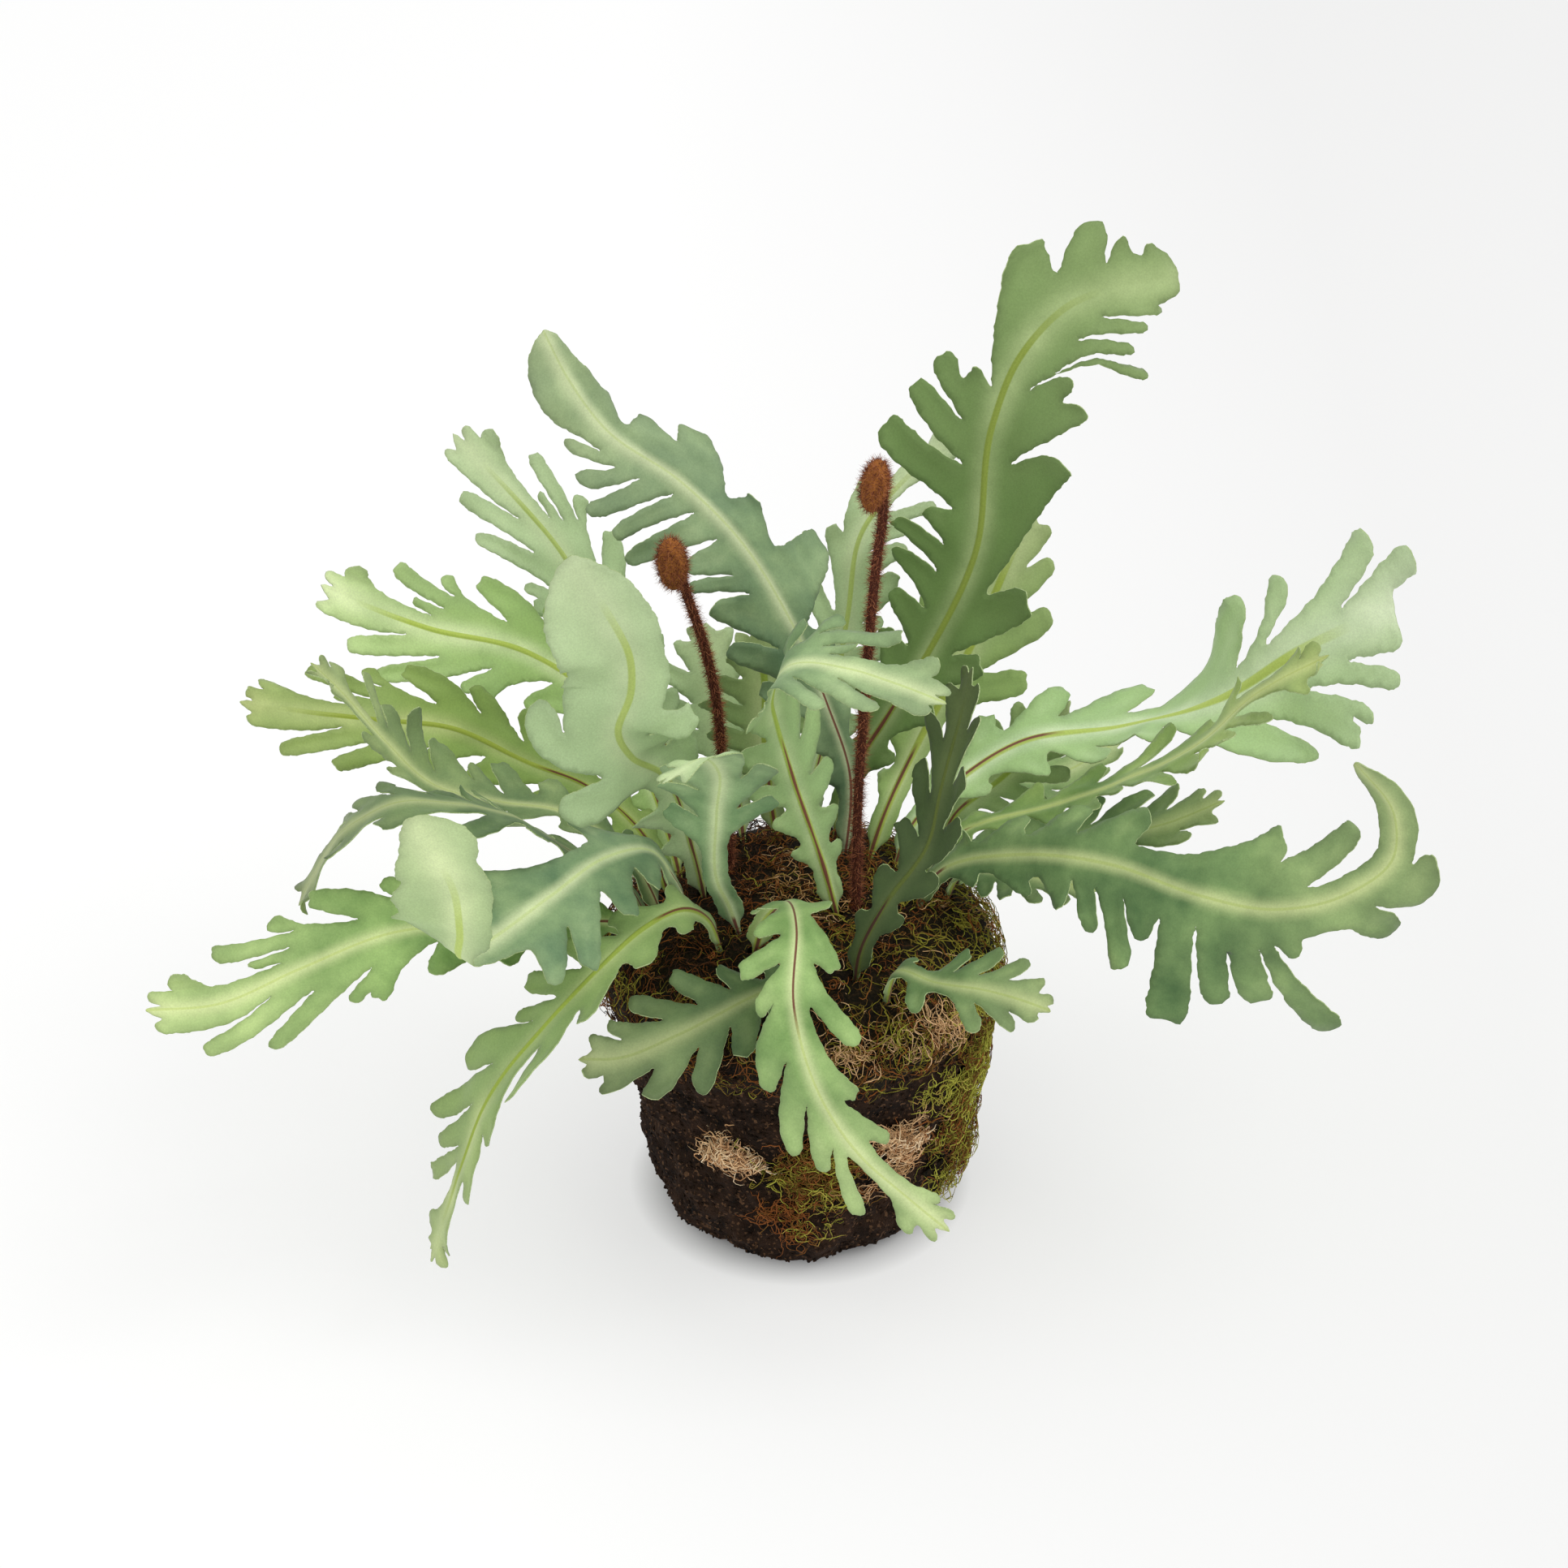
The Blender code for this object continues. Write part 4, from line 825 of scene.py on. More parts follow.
SMALL_LEAF = {
    "length": 140,
    "left": (
        (38, 4.6), (47, 9, 5), (51, 5), (64, 14, 7), (65, 6), (83, 20, 8), (80, 7), (101, 23, 8), (94, 8),
        (118, 19, 7), (112, 8), (130, 11, 5), (129, 6), (137, 6, 5), (135, 2),
    ),
    "right": (
        (42, 4.8), (53, 11, 6), (57, 5.2), (72, 17, 8), (72, 6.5), (90, 23, 8), (86, 7.5), (110, 22, 8),
        (101, 8), (125, 14, 6), (119, 6.5), (134, 8, 5), (133, 3),
    ),
    "end": 2,
}

# The fronds. Each holds its leaf, the place of its root on the soil, the points that its rib passes
# above the soil, the way that its upper side faces as (share of its length, direction), how wide its
# blade is at its stem and at its tip beside the full-size leaf, how wide its left and right sides are
# beside that, how far its edges cup and its lobes curl, and the lobes that it lacks.
FRONDS = {
    "frond_tall_right": {
        "leaf": TALL_LEAF, "root": (13, 50), "width": (0.9, 1), "cup": 4, "curl": 5,
        "rib": ((19, 51, 155), (34, 50, 186), (50, 48, 218), (65, 46, 259), (70, 48, 312), (79, 50, 338),
                (95, 54, 356), (133, 60, 366)),
        "faces": ((0, -0.3, -0.9, 0.3), (0.6, -0.3, -0.9, 0.35), (1, -0.1, -0.85, 0.5)),
    },
    "frond_behind_right": {
        "leaf": SMALL_LEAF, "root": (26, 32), "width": (1.15, 1.15), "cup": 3, "curl": 4,
        "lacks": ("right0", "right1"),
        "rib": ((31, 37, 143), (47, 60, 169), (67, 78, 201), (83, 92, 236), (92, 98, 254)),
        "faces": ((0, -0.4, -0.8, 0.4), (1, -0.4, -0.8, 0.4)),
    },
    "frond_tall_left": {
        "leaf": SPOON_LEAF, "root": (17, 37), "width": (0.9, 0.85), "sides": (1.05, 0.6), "cup": -4,
        "curl": 5,
        "rib": ((19, 36, 165), (10, 32, 201), (-4, 32, 238), (-24, 36, 272), (-45, 42, 292),
                (-71, 48, 309), (-85, 46, 332), (-93, 42, 353)),
        "faces": ((0, 0.2, -0.9, 0.3), (0.5, 0.2, -0.8, 0.55), (1, 0.2, -0.8, 0.5)),
    },
    "frond_high_left": {
        "leaf": FAN_LEAF, "root": (-33, 34), "width": (0.75, 0.75), "cup": 3, "curl": 4,
        "rib": ((-39, 41, 144), (-52, 58, 164), (-73, 82, 196), (-93, 96, 231), (-113, 102, 255),
                (-134, 106, 278)),
        "faces": ((0, 0.3, -0.8, 0.5), (1, 0.3, -0.75, 0.55)),
    },
    "frond_back_pale": {
        "leaf": SMALL_LEAF, "root": (-22, 46), "width": (1.1, 1.1), "cup": 3, "curl": 3,
        "rib": ((-25, 57, 145), (-32, 72, 163), (-35, 84, 185), (-37, 92, 203)),
        "faces": ((0, 0.2, -0.95, 0.3), (1, 0.1, -0.95, 0.3)),
    },
    "frond_back_green": {
        "leaf": SMALL_LEAF, "root": (-9, 50), "width": (1.1, 1.1), "cup": 3, "curl": 4,
        "rib": ((-12, 52, 148), (-14, 55, 172), (-14, 59, 195), (-18, 63, 217)),
        "faces": ((0, 0, -0.9, 0.4), (1, 0.2, -0.9, 0.4)),
    },
    "frond_spoon_left": {
        "leaf": SPADE_LEAF, "root": (-37, 8), "width": (0.9, 1.3), "sides": (1.0, 0.75), "cup": 4, "curl": 4,
        "lacks": ("left2",),
        "rib": ((-41, -2, 158), (-51, -16, 201), (-62, -29, 217), (-66, -36, 232), (-61, -37, 249),
                (-61, -38, 264), (-68, -40, 283), (-79, -42, 304)),
        "faces": ((0, 0.3, -0.9, 0.2), (0.5, 0.1, -0.95, 0.2), (1, 0, -0.95, 0.3)),
    },
    "frond_upper_left": {
        "leaf": FAN_LEAF, "root": (-46, 20), "width": (0.8, 0.8), "cup": 4, "curl": 4,
        "rib": ((-51, 29, 144), (-63, 46, 169), (-77, 56, 187), (-105, 62, 206), (-142, 58, 219),
                (-166, 48, 236), (-180, 40, 249)),
        "faces": ((0, 0.3, -0.8, 0.5), (0.5, 0.1, -0.8, 0.6), (1, 0.1, -0.75, 0.65)),
    },
    "frond_mid_left": {
        "leaf": FAN_LEAF, "root": (-50, 10), "width": (0.72, 0.72), "cup": 4, "curl": 4,
        "rib": ((-58, 18, 147), (-83, 32, 165), (-103, 34, 173), (-132, 28, 193), (-159, 18, 203),
                (-184, 6, 214), (-207, -6, 226)),
        "faces": ((0, 0.3, -0.7, 0.6), (0.5, 0.05, -0.75, 0.65), (1, 0.05, -0.7, 0.7)),
    },
    "frond_arched_left": {
        "leaf": SLIM_LEAF, "root": (-53, -2), "width": (0.9, 0.55), "sides": (0.65, 1.0), "cup": 6, "curl": 6,
        "rib": ((-62, -3, 150), (-90, -5, 177), (-113, -6, 182), (-135, -11, 192), (-152, -17, 215),
                (-166, -23, 240), (-176, -28, 256)),
        "faces": ((0, 0.4, -0.4, 0.9), (0.5, 0.2, -0.2, 0.95), (1, 0.5, -0.6, 0.6)),
    },
    "frond_drooping_left": {
        "leaf": SLIM_LEAF, "root": (-57, -11), "width": (0.75, 0.8), "cup": -5, "curl": 5,
        "rib": ((-64, -14, 147), (-87, -27, 175), (-107, -42, 200), (-124, -53, 212), (-145, -62, 218),
                (-162, -60, 207), (-177, -53, 181), (-184, -49, 165)),
        "faces": ((0, 0.2, -0.3, 0.9), (0.5, 0, 0.1, 1), (1, -0.7, -0.2, 0.7)),
    },
    "frond_long_left": {
        "leaf": FAN_LEAF, "root": (-58, -20), "width": (0.78, 0.78), "cup": 4, "curl": 4,
        "rib": ((-67, -25, 139), (-90, -40, 150), (-115, -54, 159), (-148, -71, 168), (-181, -84, 161),
                (-209, -94, 153), (-235, -102, 156)),
        "faces": ((0, 0.2, -0.5, 0.8), (0.5, 0, -0.65, 0.75), (1, 0, -0.65, 0.75)),
    },
    "frond_folded_left": {
        "leaf": ROUND_LEAF, "root": (-42, -9), "width": (0.95, 1.2), "cup": -4, "curl": 6,
        "lacks": ("right0", "right1", "right3"),
        "rib": ((-47, -15, 152), (-56, -24, 172), (-72, -42, 181), (-91, -64, 179), (-111, -88, 177),
                (-121, -100, 178), (-120, -106, 192), (-121, -108, 211), (-133, -110, 239)),
        "faces": ((0, 0.5, 0, 0.8), (0.2, 0.3, -0.2, 0.9), (0.6, 0, -0.45, 0.9), (0.72, 0.4, 0.2, 0.8),
                  (0.8, 0.3, 0.9, 0.1), (1, 0.2, 0.95, 0)),
    },
    "frond_hanging_left": {
        "leaf": SLIM_LEAF, "root": (-30, -28), "width": (0.8, 0.8), "cup": 7, "curl": 4,
        "rib": ((-35, -33, 147), (-44, -45, 160), (-57, -59, 162), (-74, -75, 154), (-92, -88, 140),
                (-112, -98, 117), (-125, -103, 84), (-134, -101, 53), (-138, -99, 38)),
        "faces": ((0, 0.1, 0.1, 0.9), (0.2, 0.1, -0.5, 0.85), (0.5, -0.5, -0.3, 0.8),
                  (0.75, -0.8, -0.3, 0.4), (1, -0.85, -0.4, 0.2)),
    },
    "frond_front": {
        "leaf": SLIM_LEAF, "root": (-18, -30), "width": (0.75, 0.75), "cup": -4, "curl": 4,
        "rib": ((-13, -41, 154), (-5, -60, 174), (-2, -86, 180), (-3, -112, 165), (4, -124, 141),
                (21, -130, 112), (36, -132, 97), (53, -134, 81)),
        "faces": ((0, 0.2, 0.8, 0.6), (0.2, 0, 0.5, 0.9), (0.35, 0, -0.4, 0.9), (0.6, -0.1, -0.95, 0.4),
                  (1, -0.1, -0.9, 0.5)),
    },
    "frond_small_front_left": {
        "leaf": SMALL_LEAF, "root": (8, -52), "width": (1, 1), "cup": -2, "curl": 3,
        "rib": ((3, -62, 142), (-16, -80, 147), (-45, -94, 139), (-66, -101, 134), (-82, -104, 136)),
        "faces": ((0, 0.5, 0.3, 0.7), (0.3, 0.2, -0.2, 1), (1, -0.1, -0.5, 0.8)),
    },
    "frond_small_front_right": {
        "leaf": SMALL_LEAF, "root": (31, -52), "width": (0.65, 0.85), "cup": 3, "curl": 5,
        "lacks": ("left1", "right0", "right2"),
        "rib": ((35, -60, 143), (49, -77, 150), (66, -90, 156), (78, -97, 157), (90, -102, 155)),
        "faces": ((0, -0.4, 0.3, 0.7), (0.4, -0.1, -0.3, 0.9), (1, 0, -0.4, 0.9)),
    },
    "frond_upright_right": {
        "leaf": SMALL_LEAF, "root": (20, -44), "width": (0.45, 0.75), "cup": 4, "curl": 4,
        "rib": ((22, -49, 145), (31, -53, 169), (46, -51, 194), (50, -46, 213), (56, -42, 239),
                (61, -38, 263)),
        "faces": ((0, -0.3, -0.9, 0.2), (0.4, -0.5, -0.8, 0.2), (0.7, -0.8, -0.5, 0.2),
                  (1, -0.8, -0.5, 0.2)),
    },
    "frond_upright_left": {
        "leaf": SMALL_LEAF, "root": (-23, -18), "width": (0.9, 0.95), "cup": 3, "curl": 5,
        "lacks": ("left0", "left1", "right0", "right1"),
        "rib": ((-27, -22, 146), (-31, -28, 160), (-31, -40, 199), (-30, -50, 224), (-36, -62, 237),
                (-51, -76, 234)),
        "faces": ((0, 0, -0.95, 0.2), (0.6, 0, -0.95, 0.2), (0.8, 0.1, -0.6, -0.7), (1, 0.2, -0.2, -0.95)),
    },
    "frond_bent_over": {
        "leaf": FAN_LEAF, "root": (14, -8), "width": (0.85, 0.85), "cup": -3, "curl": 4,
        "rib": ((9, -10, 153), (-3, -16, 198), (-9, -22, 225), (-11, -27, 240), (-5, -34, 258),
                (18, -48, 265), (31, -56, 265), (51, -66, 262)),
        "faces": ((0, 0, -0.95, 0.2), (0.4, 0.3, -0.9, 0.2), (0.53, 0.75, -0.6, 0.1),
                  (0.62, 0.6, 0, -0.7), (0.7, 0, 0.2, -0.95), (1, 0, 0.3, -0.95)),
    },
    "frond_long_right": {
        "leaf": OPEN_LEAF, "root": (36, 28), "width": (0.85, 1.6), "cup": 4, "curl": 4,
        "rib": ((43, 33, 145), (59, 41, 159), (85, 51, 172), (123, 54, 177), (158, 44, 195),
                (187, 32, 225), (220, 20, 252)),
        "faces": ((0, -0.5, -0.7, 0.5), (0.35, -0.3, -0.4, 0.9), (0.55, -0.2, 0.3, 0.9),
                  (0.75, -0.2, -0.7, 0.6), (1, -0.2, -0.8, 0.5)),
    },
    "frond_mid_right": {
        "leaf": SLIM_LEAF, "root": (41, 14), "width": (0.7, 0.78), "cup": 4, "curl": 5,
        "rib": ((52, 13, 149), (70, 12, 161), (93, 10, 169), (118, 5, 183), (146, -5, 206),
                (167, -12, 234), (190, -18, 253)),
        "faces": ((0, -0.5, -0.3, 0.8), (0.5, -0.1, 0.1, 0.95), (1, -0.3, -0.2, 0.9)),
    },
    "frond_broad_right": {
        "leaf": BROAD_LEAF, "root": (44, 2), "width": (1.25, 0.7), "cup": -7, "curl": 5,
        "rib": ((52, -6, 150), (80, -28, 173), (115, -52, 184), (141, -68, 183), (168, -82, 186),
                (192, -90, 198), (207, -92, 215), (206, -89, 232), (192, -83, 249)),
        "faces": ((0, -0.4, -0.3, 0.8), (0.3, -0.1, -0.7, 0.7), (0.6, 0, -0.85, 0.5),
                  (0.82, -0.4, -0.8, 0.2), (1, -0.75, -0.5, -0.2)),
    },
    "frond_ribbed_right": {
        "leaf": SMALL_LEAF, "root": (49, 22), "width": (1.1, 0.8), "cup": 3, "curl": 4,
        "rib": ((58, 24, 138), (80, 26, 141), (106, 24, 145), (135, 9, 161), (160, -1, 180)),
        "faces": ((0, -0.4, 0, 0.9), (1, -0.3, -0.3, 0.9)),
    },
    "frond_low_right": {
        "leaf": SMALL_LEAF, "root": (55, 10), "width": (0.8, 0.8), "cup": 2, "curl": 3,
        "rib": ((60, 5, 141), (76, -6, 150), (94, -16, 153), (112, -24, 154)),
        "faces": ((0, -0.4, 0.1, 0.9), (1, 0.1, -0.1, 1)),
    },
    "frond_back_tall": {
        "leaf": SLIM_LEAF, "root": (2, 49), "width": (0.75, 0.75), "cup": 3, "curl": 4,
        "rib": ((5, 56, 149), (12, 69, 174), (18, 82, 209), (25, 92, 245), (37, 100, 257), (58, 108, 274)),
        "faces": ((0, -0.1, -0.95, 0.3), (1, -0.3, -0.8, 0.5)),
    },
    "frond_far_right": {
        "leaf": SMALL_LEAF, "root": (44, 44), "width": (0.9, 0.9), "cup": 3, "curl": 3,
        "rib": ((51, 57, 141), (72, 80, 138), (101, 92, 130), (132, 104, 142)),
        "faces": ((0, -0.3, -0.3, 0.9), (1, 0, -0.2, 1)),
    },
    "frond_back_right": {
        "leaf": SMALL_LEAF, "root": (52, 34), "width": (0.9, 0.9), "cup": 3, "curl": 4,
        "rib": ((59, 44, 141), (79, 63, 148), (93, 70, 160), (106, 74, 178)),
        "faces": ((0, -0.4, -0.5, 0.7), (1, -0.3, -0.7, 0.6)),
    },
}


def lobes_of(leaf, side):
    """Each lobe of one side: the middle of its base, the way that it points, its length and its width."""
    places, lobes = leaf[side], []
    for number, place in enumerate(places):
        if len(place) == 3:
            behind = next(Vector(other) for other in reversed(places[:number]) if len(other) == 2)
            before = next(Vector(other) for other in places[number + 1:] if len(other) == 2)
            base = (behind + before) / 2
            away = Vector(place[:2]) - base
            lobes.append((base, away.normalized(), away.length, place[2]))
    return lobes


def lobe_end(base, axis, length, width):
    """The points round the end of one lobe; a broad lobe may end in two teeth."""
    across = Vector((-axis.y, axis.x))
    tip = base + axis * length
    ends = LOBE_ENDS if width > TOOTHED_FROM else LOBE_ENDS[:1]
    points = []
    # The lobe's length picks one of the ends
    for angle, radius in ends[int(length * 7) % len(ends)]:
        a = math.radians(angle)
        points.append(tip + (axis * (radius * math.cos(a) - 1) + across * (radius * math.sin(a))) * width / 2)
    return points


def side_outline(leaf, side, lacks):
    """One side of the flat leaf from the root to the tip, as (place along the rib, distance from it)."""
    points = [Vector(place) for place in STEM_OUTLINE]
    lobes = enumerate(lobes_of(leaf, side))
    for place in leaf[side]:
        if len(place) == 2:
            points.append(Vector(place))
            continue
        number, lobe = next(lobes)
        if side + str(number) not in lacks:
            points.extend(lobe_end(*lobe))
    return points


def leaf_outline(leaf, lacks):
    right = [Vector((point.x, -point.y)) for point in side_outline(leaf, "right", lacks)]
    left = side_outline(leaf, "left", lacks)
    tip = Vector((leaf["length"] - leaf["end"], 0))
    return [Vector((0, 0))] + right[1:] + [tip] + left[:0:-1]


def cut_edge(points, draw):
    """The smooth line that the die cuts through the outline's points, wandering a little and frayed."""
    line, count, gone = [], len(points), 0.0
    starts = [draw.uniform(0, math.tau) for _ in EDGE_WANDERS]
    for number in range(count):
        p0, p1, p2, p3 = (points[(number + k - 1) % count] for k in range(4))
        t1 = max((p1 - p0).length, 1e-6) ** 0.5
        t2 = t1 + max((p2 - p1).length, 1e-6) ** 0.5
        t3 = t2 + max((p3 - p2).length, 1e-6) ** 0.5
        steps = max(1, round((p2 - p1).length / EDGE_STEP))
        across = Vector((p1.y - p2.y, p2.x - p1.x)).normalized()
        for step in range(steps):
            t = t1 + (t2 - t1) * step / steps
            a1 = p0.lerp(p1, t / t1)
            a2 = p1.lerp(p2, (t - t1) / (t2 - t1))
            a3 = p2.lerp(p3, (t - t2) / (t3 - t2))
            b1, b2 = a1.lerp(a2, t / t2), a2.lerp(a3, (t - t1) / (t3 - t1))
            place = b1.lerp(b2, (t - t1) / (t2 - t1))
            gone += (p2 - p1).length / steps
            wander = sum(
                far * math.sin(math.tau * gone / length + start)
                for (far, length), start in zip(EDGE_WANDERS, starts)
            )
            fray = Vector((draw.gauss(0, FRAY), draw.gauss(0, FRAY)))
            line.append(place + (across * wander + fray) * (1 if place.x > BARE_STEM else STEM_FRAY))
    return line


def smooth_path(root, rib):
    """Points close together on a smooth curve: straight through the soil, then past each point of the rib."""
    knots = [Vector(root)] + [Vector(point) for point in rib]
    tangents = [(knots[1] - knots[0]).normalized()]
    for before, here, after in zip(knots, knots[1:], knots[2:]):
        back, ahead = (here - before).length, (after - here).length
        tangents.append(((here - before) / back * ahead + (after - here) / ahead * back) / (back + ahead))
    tangents.append((knots[-1] - knots[-2]).normalized())
    path = [knots[0] - tangents[0] * STEM_DEPTH]
    for start, end, leave, arrive in zip(knots, knots[1:], tangents, tangents[1:]):
        span = (end - start).length
        for step in range(STEPS_BETWEEN_POINTS):
            t = step / STEPS_BETWEEN_POINTS
            path.append(
                start * (2 * t**3 - 3 * t**2 + 1) + leave * span * (t**3 - 2 * t**2 + t)
                + end * (3 * t**2 - 2 * t**3) + arrive * span * (t**3 - t**2)
            )
    path.append(knots[-1])
    return path


class Rib:
    """A frond's rib in space: its place, its direction and its upper side at each distance along it."""

    def __init__(self, frond):
        self.path = smooth_path(soil_point(*frond["root"]), frond["rib"])
        self.faces = [(share, Vector(face).normalized()) for share, *face in frond["faces"]]
        self.reached = [0.0]
        for start, end in zip(self.path, self.path[1:]):
            self.reached.append(self.reached[-1] + (end - start).length)
        self.length = self.reached[-1]

    def at(self, distance):
        last = len(self.path) - 1
        index = min(max(bisect.bisect_right(self.reached, distance) - 1, 0), last - 1)
        start, end = self.path[index], self.path[index + 1]
        part = (distance - self.reached[index]) / (end - start).length
        place = start + (end - start) * part
        before = self.path[min(index + 1, last)] - self.path[max(index - 1, 0)]
        after = self.path[min(index + 2, last)] - self.path[index]
        ahead = before.normalized().lerp(after.normalized(), clamp(part))
        share = clamp(distance / self.length)
        for (before, face), (after, next_face) in zip(self.faces, self.faces[1:]):
            if share <= after:
                face = face.lerp(next_face, (share - before) / (after - before))
                break
        ahead.normalize()
        up = (face - ahead * face.dot(ahead)).normalized()
        return place, up.cross(ahead), up


def curl_of(lobes, curls, along, out):
    """How far the lobes curl this place off the leaf, and how deep it is in the groove along a lobe."""
    curl, groove = 0.0, 0.0
    for (base, axis, length, width), bend in zip(lobes, curls):
        away = Vector((along, out)) - base
        share = away.dot(axis) / length
        if share > 0:
            across = away.cross(axis) / width
            curl += bend * min(share, CURL_GROWS_TO) ** 2 * math.exp(-((across / CURL_SPREAD) ** 2))
            hollow = math.exp(-((across / GROOVE_SPREAD) ** 2)) * math.sin(math.pi * min(share, 1))
            groove += hollow * min(width / FULL_GROOVE_WIDTH, 1)
    return curl, min(groove, 1)


def placed(frond, rib, lobes, curls, point):
    """The place in space of a point of the flat leaf, and how deep it is in the groove along a lobe."""
    length = frond["leaf"]["length"]
    along, out = point
    if along > BARE_STEM:
        reached = BARE_STEM + (along - BARE_STEM) * (rib.length - BARE_STEM) / (length - BARE_STEM)
    else:
        reached = along
    side = "left" if out > 0 else "right"
    near, far = frond["width"]
    full = (near + (far - near) * along / length) * frond.get("sides", (1, 1))[side == "right"]
    widen = 1 + (full - 1) * clamp((along - BARE_STEM) / FULL_WIDTH_AFTER)
    reach = abs(out) / EDGE_AT
    curl, groove = curl_of(lobes[side], curls[side], along, abs(out))
    beside_rib = min(abs(out) / STIFF_TO, 1)
    ripple = noise.noise(Vector((along / CRUMPLE_LENGTH, out / CRUMPLE_WIDTH, curls["phase"] * 9)))
    lift = frond["cup"] * reach**2 + (frond["curl"] * curl - GROOVE_DEPTH * groove) * beside_rib
    lift += WAVE_HEIGHT * math.sin(math.tau * along / WAVE_LENGTH + curls["phase"]) * reach**1.5
    lift += CRUMPLE * ripple * beside_rib
    place, across, up = rib.at(reached)
    return place + across * (out * widen) + up * lift, groove * beside_rib


def edge_finder(outline):
    """Finds the nearest place on the edge of the flat leaf."""
    tree = KDTree(len(outline))
    for number, place in enumerate(outline):
        tree.insert((*place, 0), number)
    tree.balance()
    return tree


def flat_points(leaf, edge, step):
    """Places inside the flat leaf: close rows along its rib, and an even net beyond them."""
    inside, along = [], FIRST_ROW
    while along < leaf["length"]:
        for row in RIB_ROWS:
            inside += [Vector((along, row)), Vector((along, -row))] if row else [Vector((along, 0))]
        along += step
    rows = round(WIDEST / step)
    for row in range(-rows, rows + 1):
        out = row * step * ROW_SPACING
        if abs(out) < RIB_ROWS[-1] + step / 2:
            continue
        along = FIRST_ROW + (row % 2) * step / 2
        while along < leaf["length"]:
            inside.append(Vector((along, out)))
            along += step
    clear = []
    for place in inside:
        gap = edge.find((*place, 0))[2]
        if gap > (RIB_CLEARANCE if abs(place.y) < RIB_ROWS[-1] + 0.1 else step * NET_CLEARANCE):
            clear.append(place)
    return clear


def rib_section(leaf, along, out):
    """How far the wire raises the back of the sheet, and the stem its front, at this place."""
    share = along / leaf["length"]
    ridge = RIB_HEIGHT * (1 - RIB_LOWERS * share) * clamp((RIB_END - share) / RIB_ENDS_OVER)
    width = RIB_WIDTH * (1 - RIB_NARROWS * share)
    back = ridge * max(0, 1 - (out / width) ** 2) ** 0.5 if abs(out) < width else 0
    round_stem = max(0, 1 - (out / STEM_HALF_WIDTH) ** 2) ** 0.5
    return back, STEM_HALF_THICKNESS * round_stem * clamp((STEM_END - along) / STEM_FADES_OVER)


def leaf_sheet(name, frond, seed, wire_up, light, blue, maroon_to):
    """The frond's sheet as a closed mesh: two faces of cloth, the wire's ridge on one of them, a cut rim."""
    leaf, rib = frond["leaf"], Rib(frond)
    draw = random.Random(seed)
    lobes = {side: lobes_of(leaf, side) for side in ("left", "right")}
    curls = {side: [draw.uniform(-1, 1) for _ in lobes[side]] for side in ("left", "right")}
    curls["phase"] = draw.uniform(0, math.tau)
    outline = cut_edge(leaf_outline(leaf, frond.get("lacks", ())), draw)
    edge_of_leaf = edge_finder(outline)
    inside = flat_points(leaf, edge_of_leaf, SHEET_STEP)
    flat, _, faces, *_ = delaunay_2d_cdt(outline + inside, [], [list(range(len(outline)))], 1, 1e-5)
    middle = bmesh.new()
    grooves = []
    for point in flat:
        place, groove = placed(frond, rib, lobes, curls, point)
        middle.verts.new(place)
        grooves.append(groove)
    middle.verts.ensure_lookup_table()
    for face in faces:
        a, b, c = (flat[number] for number in face)
        if (b - a).cross(c - a) <= 0:
            face = face[::-1]
        middle.faces.new([middle.verts[number] for number in face])
    middle.normal_update()
    middle.verts.index_update()
    points, layers = [], {}
    values = {label: [] for label in LEAF_VALUES}
    used = [vertex for vertex in middle.verts if vertex.link_faces]
    for side in (1, -1):
        is_back = (side > 0) == wire_up
        near, far = GLOW_SPREADS["back" if is_back else "front"]
        for vertex in used:
            along, out = flat[vertex.index]
            ridge, stem = rib_section(leaf, along, out)
            rise = SHEET_THICKNESS / 2 + (ridge if is_back else stem)
            layers[side, vertex.index] = len(points)
            points.append((vertex.co + vertex.normal * (side * rise)) * MM)
            share = clamp((along - GLOW_FROM) / (leaf["length"] - GLOW_FROM - GLOW_TO))
            glow = math.exp(-((out / (near + (far - near) * share)) ** 2))
            glow += LOBE_GLOW * grooves[vertex.index] * max(0, 1 - abs(out) / LOBE_GLOW_TO)
            depth = edge_of_leaf.find((along, out, 0))[2]
            shades = (
                along / leaf["length"], out, min(glow, 1), float(is_back), light, blue, maroon_to, depth,
            )
            for label, value in zip(LEAF_VALUES, shades):
                values[label].append(value)
    sheets = [[layers[1, vertex.index] for vertex in face.verts] for face in middle.faces]
    sheets += [[layers[-1, vertex.index] for vertex in reversed(face.verts)] for face in middle.faces]
    rim = []
    for edge in middle.edges:
        if edge.is_boundary:
            loop = edge.link_loops[0]
            a, b = loop.vert.index, loop.link_loop_next.vert.index
            rim.append([layers[1, b], layers[1, a], layers[-1, a], layers[-1, b]])
    middle.free()
    mesh = bpy.data.meshes.new(name)
    mesh.from_pydata(points, [], sheets + rim)
    for label, numbers in values.items():
        mesh.attributes.new(label, "FLOAT", "POINT").data.foreach_set("value", numbers)
    mesh.polygons.foreach_set("use_smooth", [True] * len(sheets) + [False] * len(rim))
    mesh.polygons.foreach_set("material_index", [0] * len(sheets) + [1] * len(rim))
    mesh.update()
    return mesh


def scaled(tree, shade, by):
    return put(tree, "ShaderNodeVectorMath", {0: shade, "Scale": by}, operation="SCALE").outputs[0]


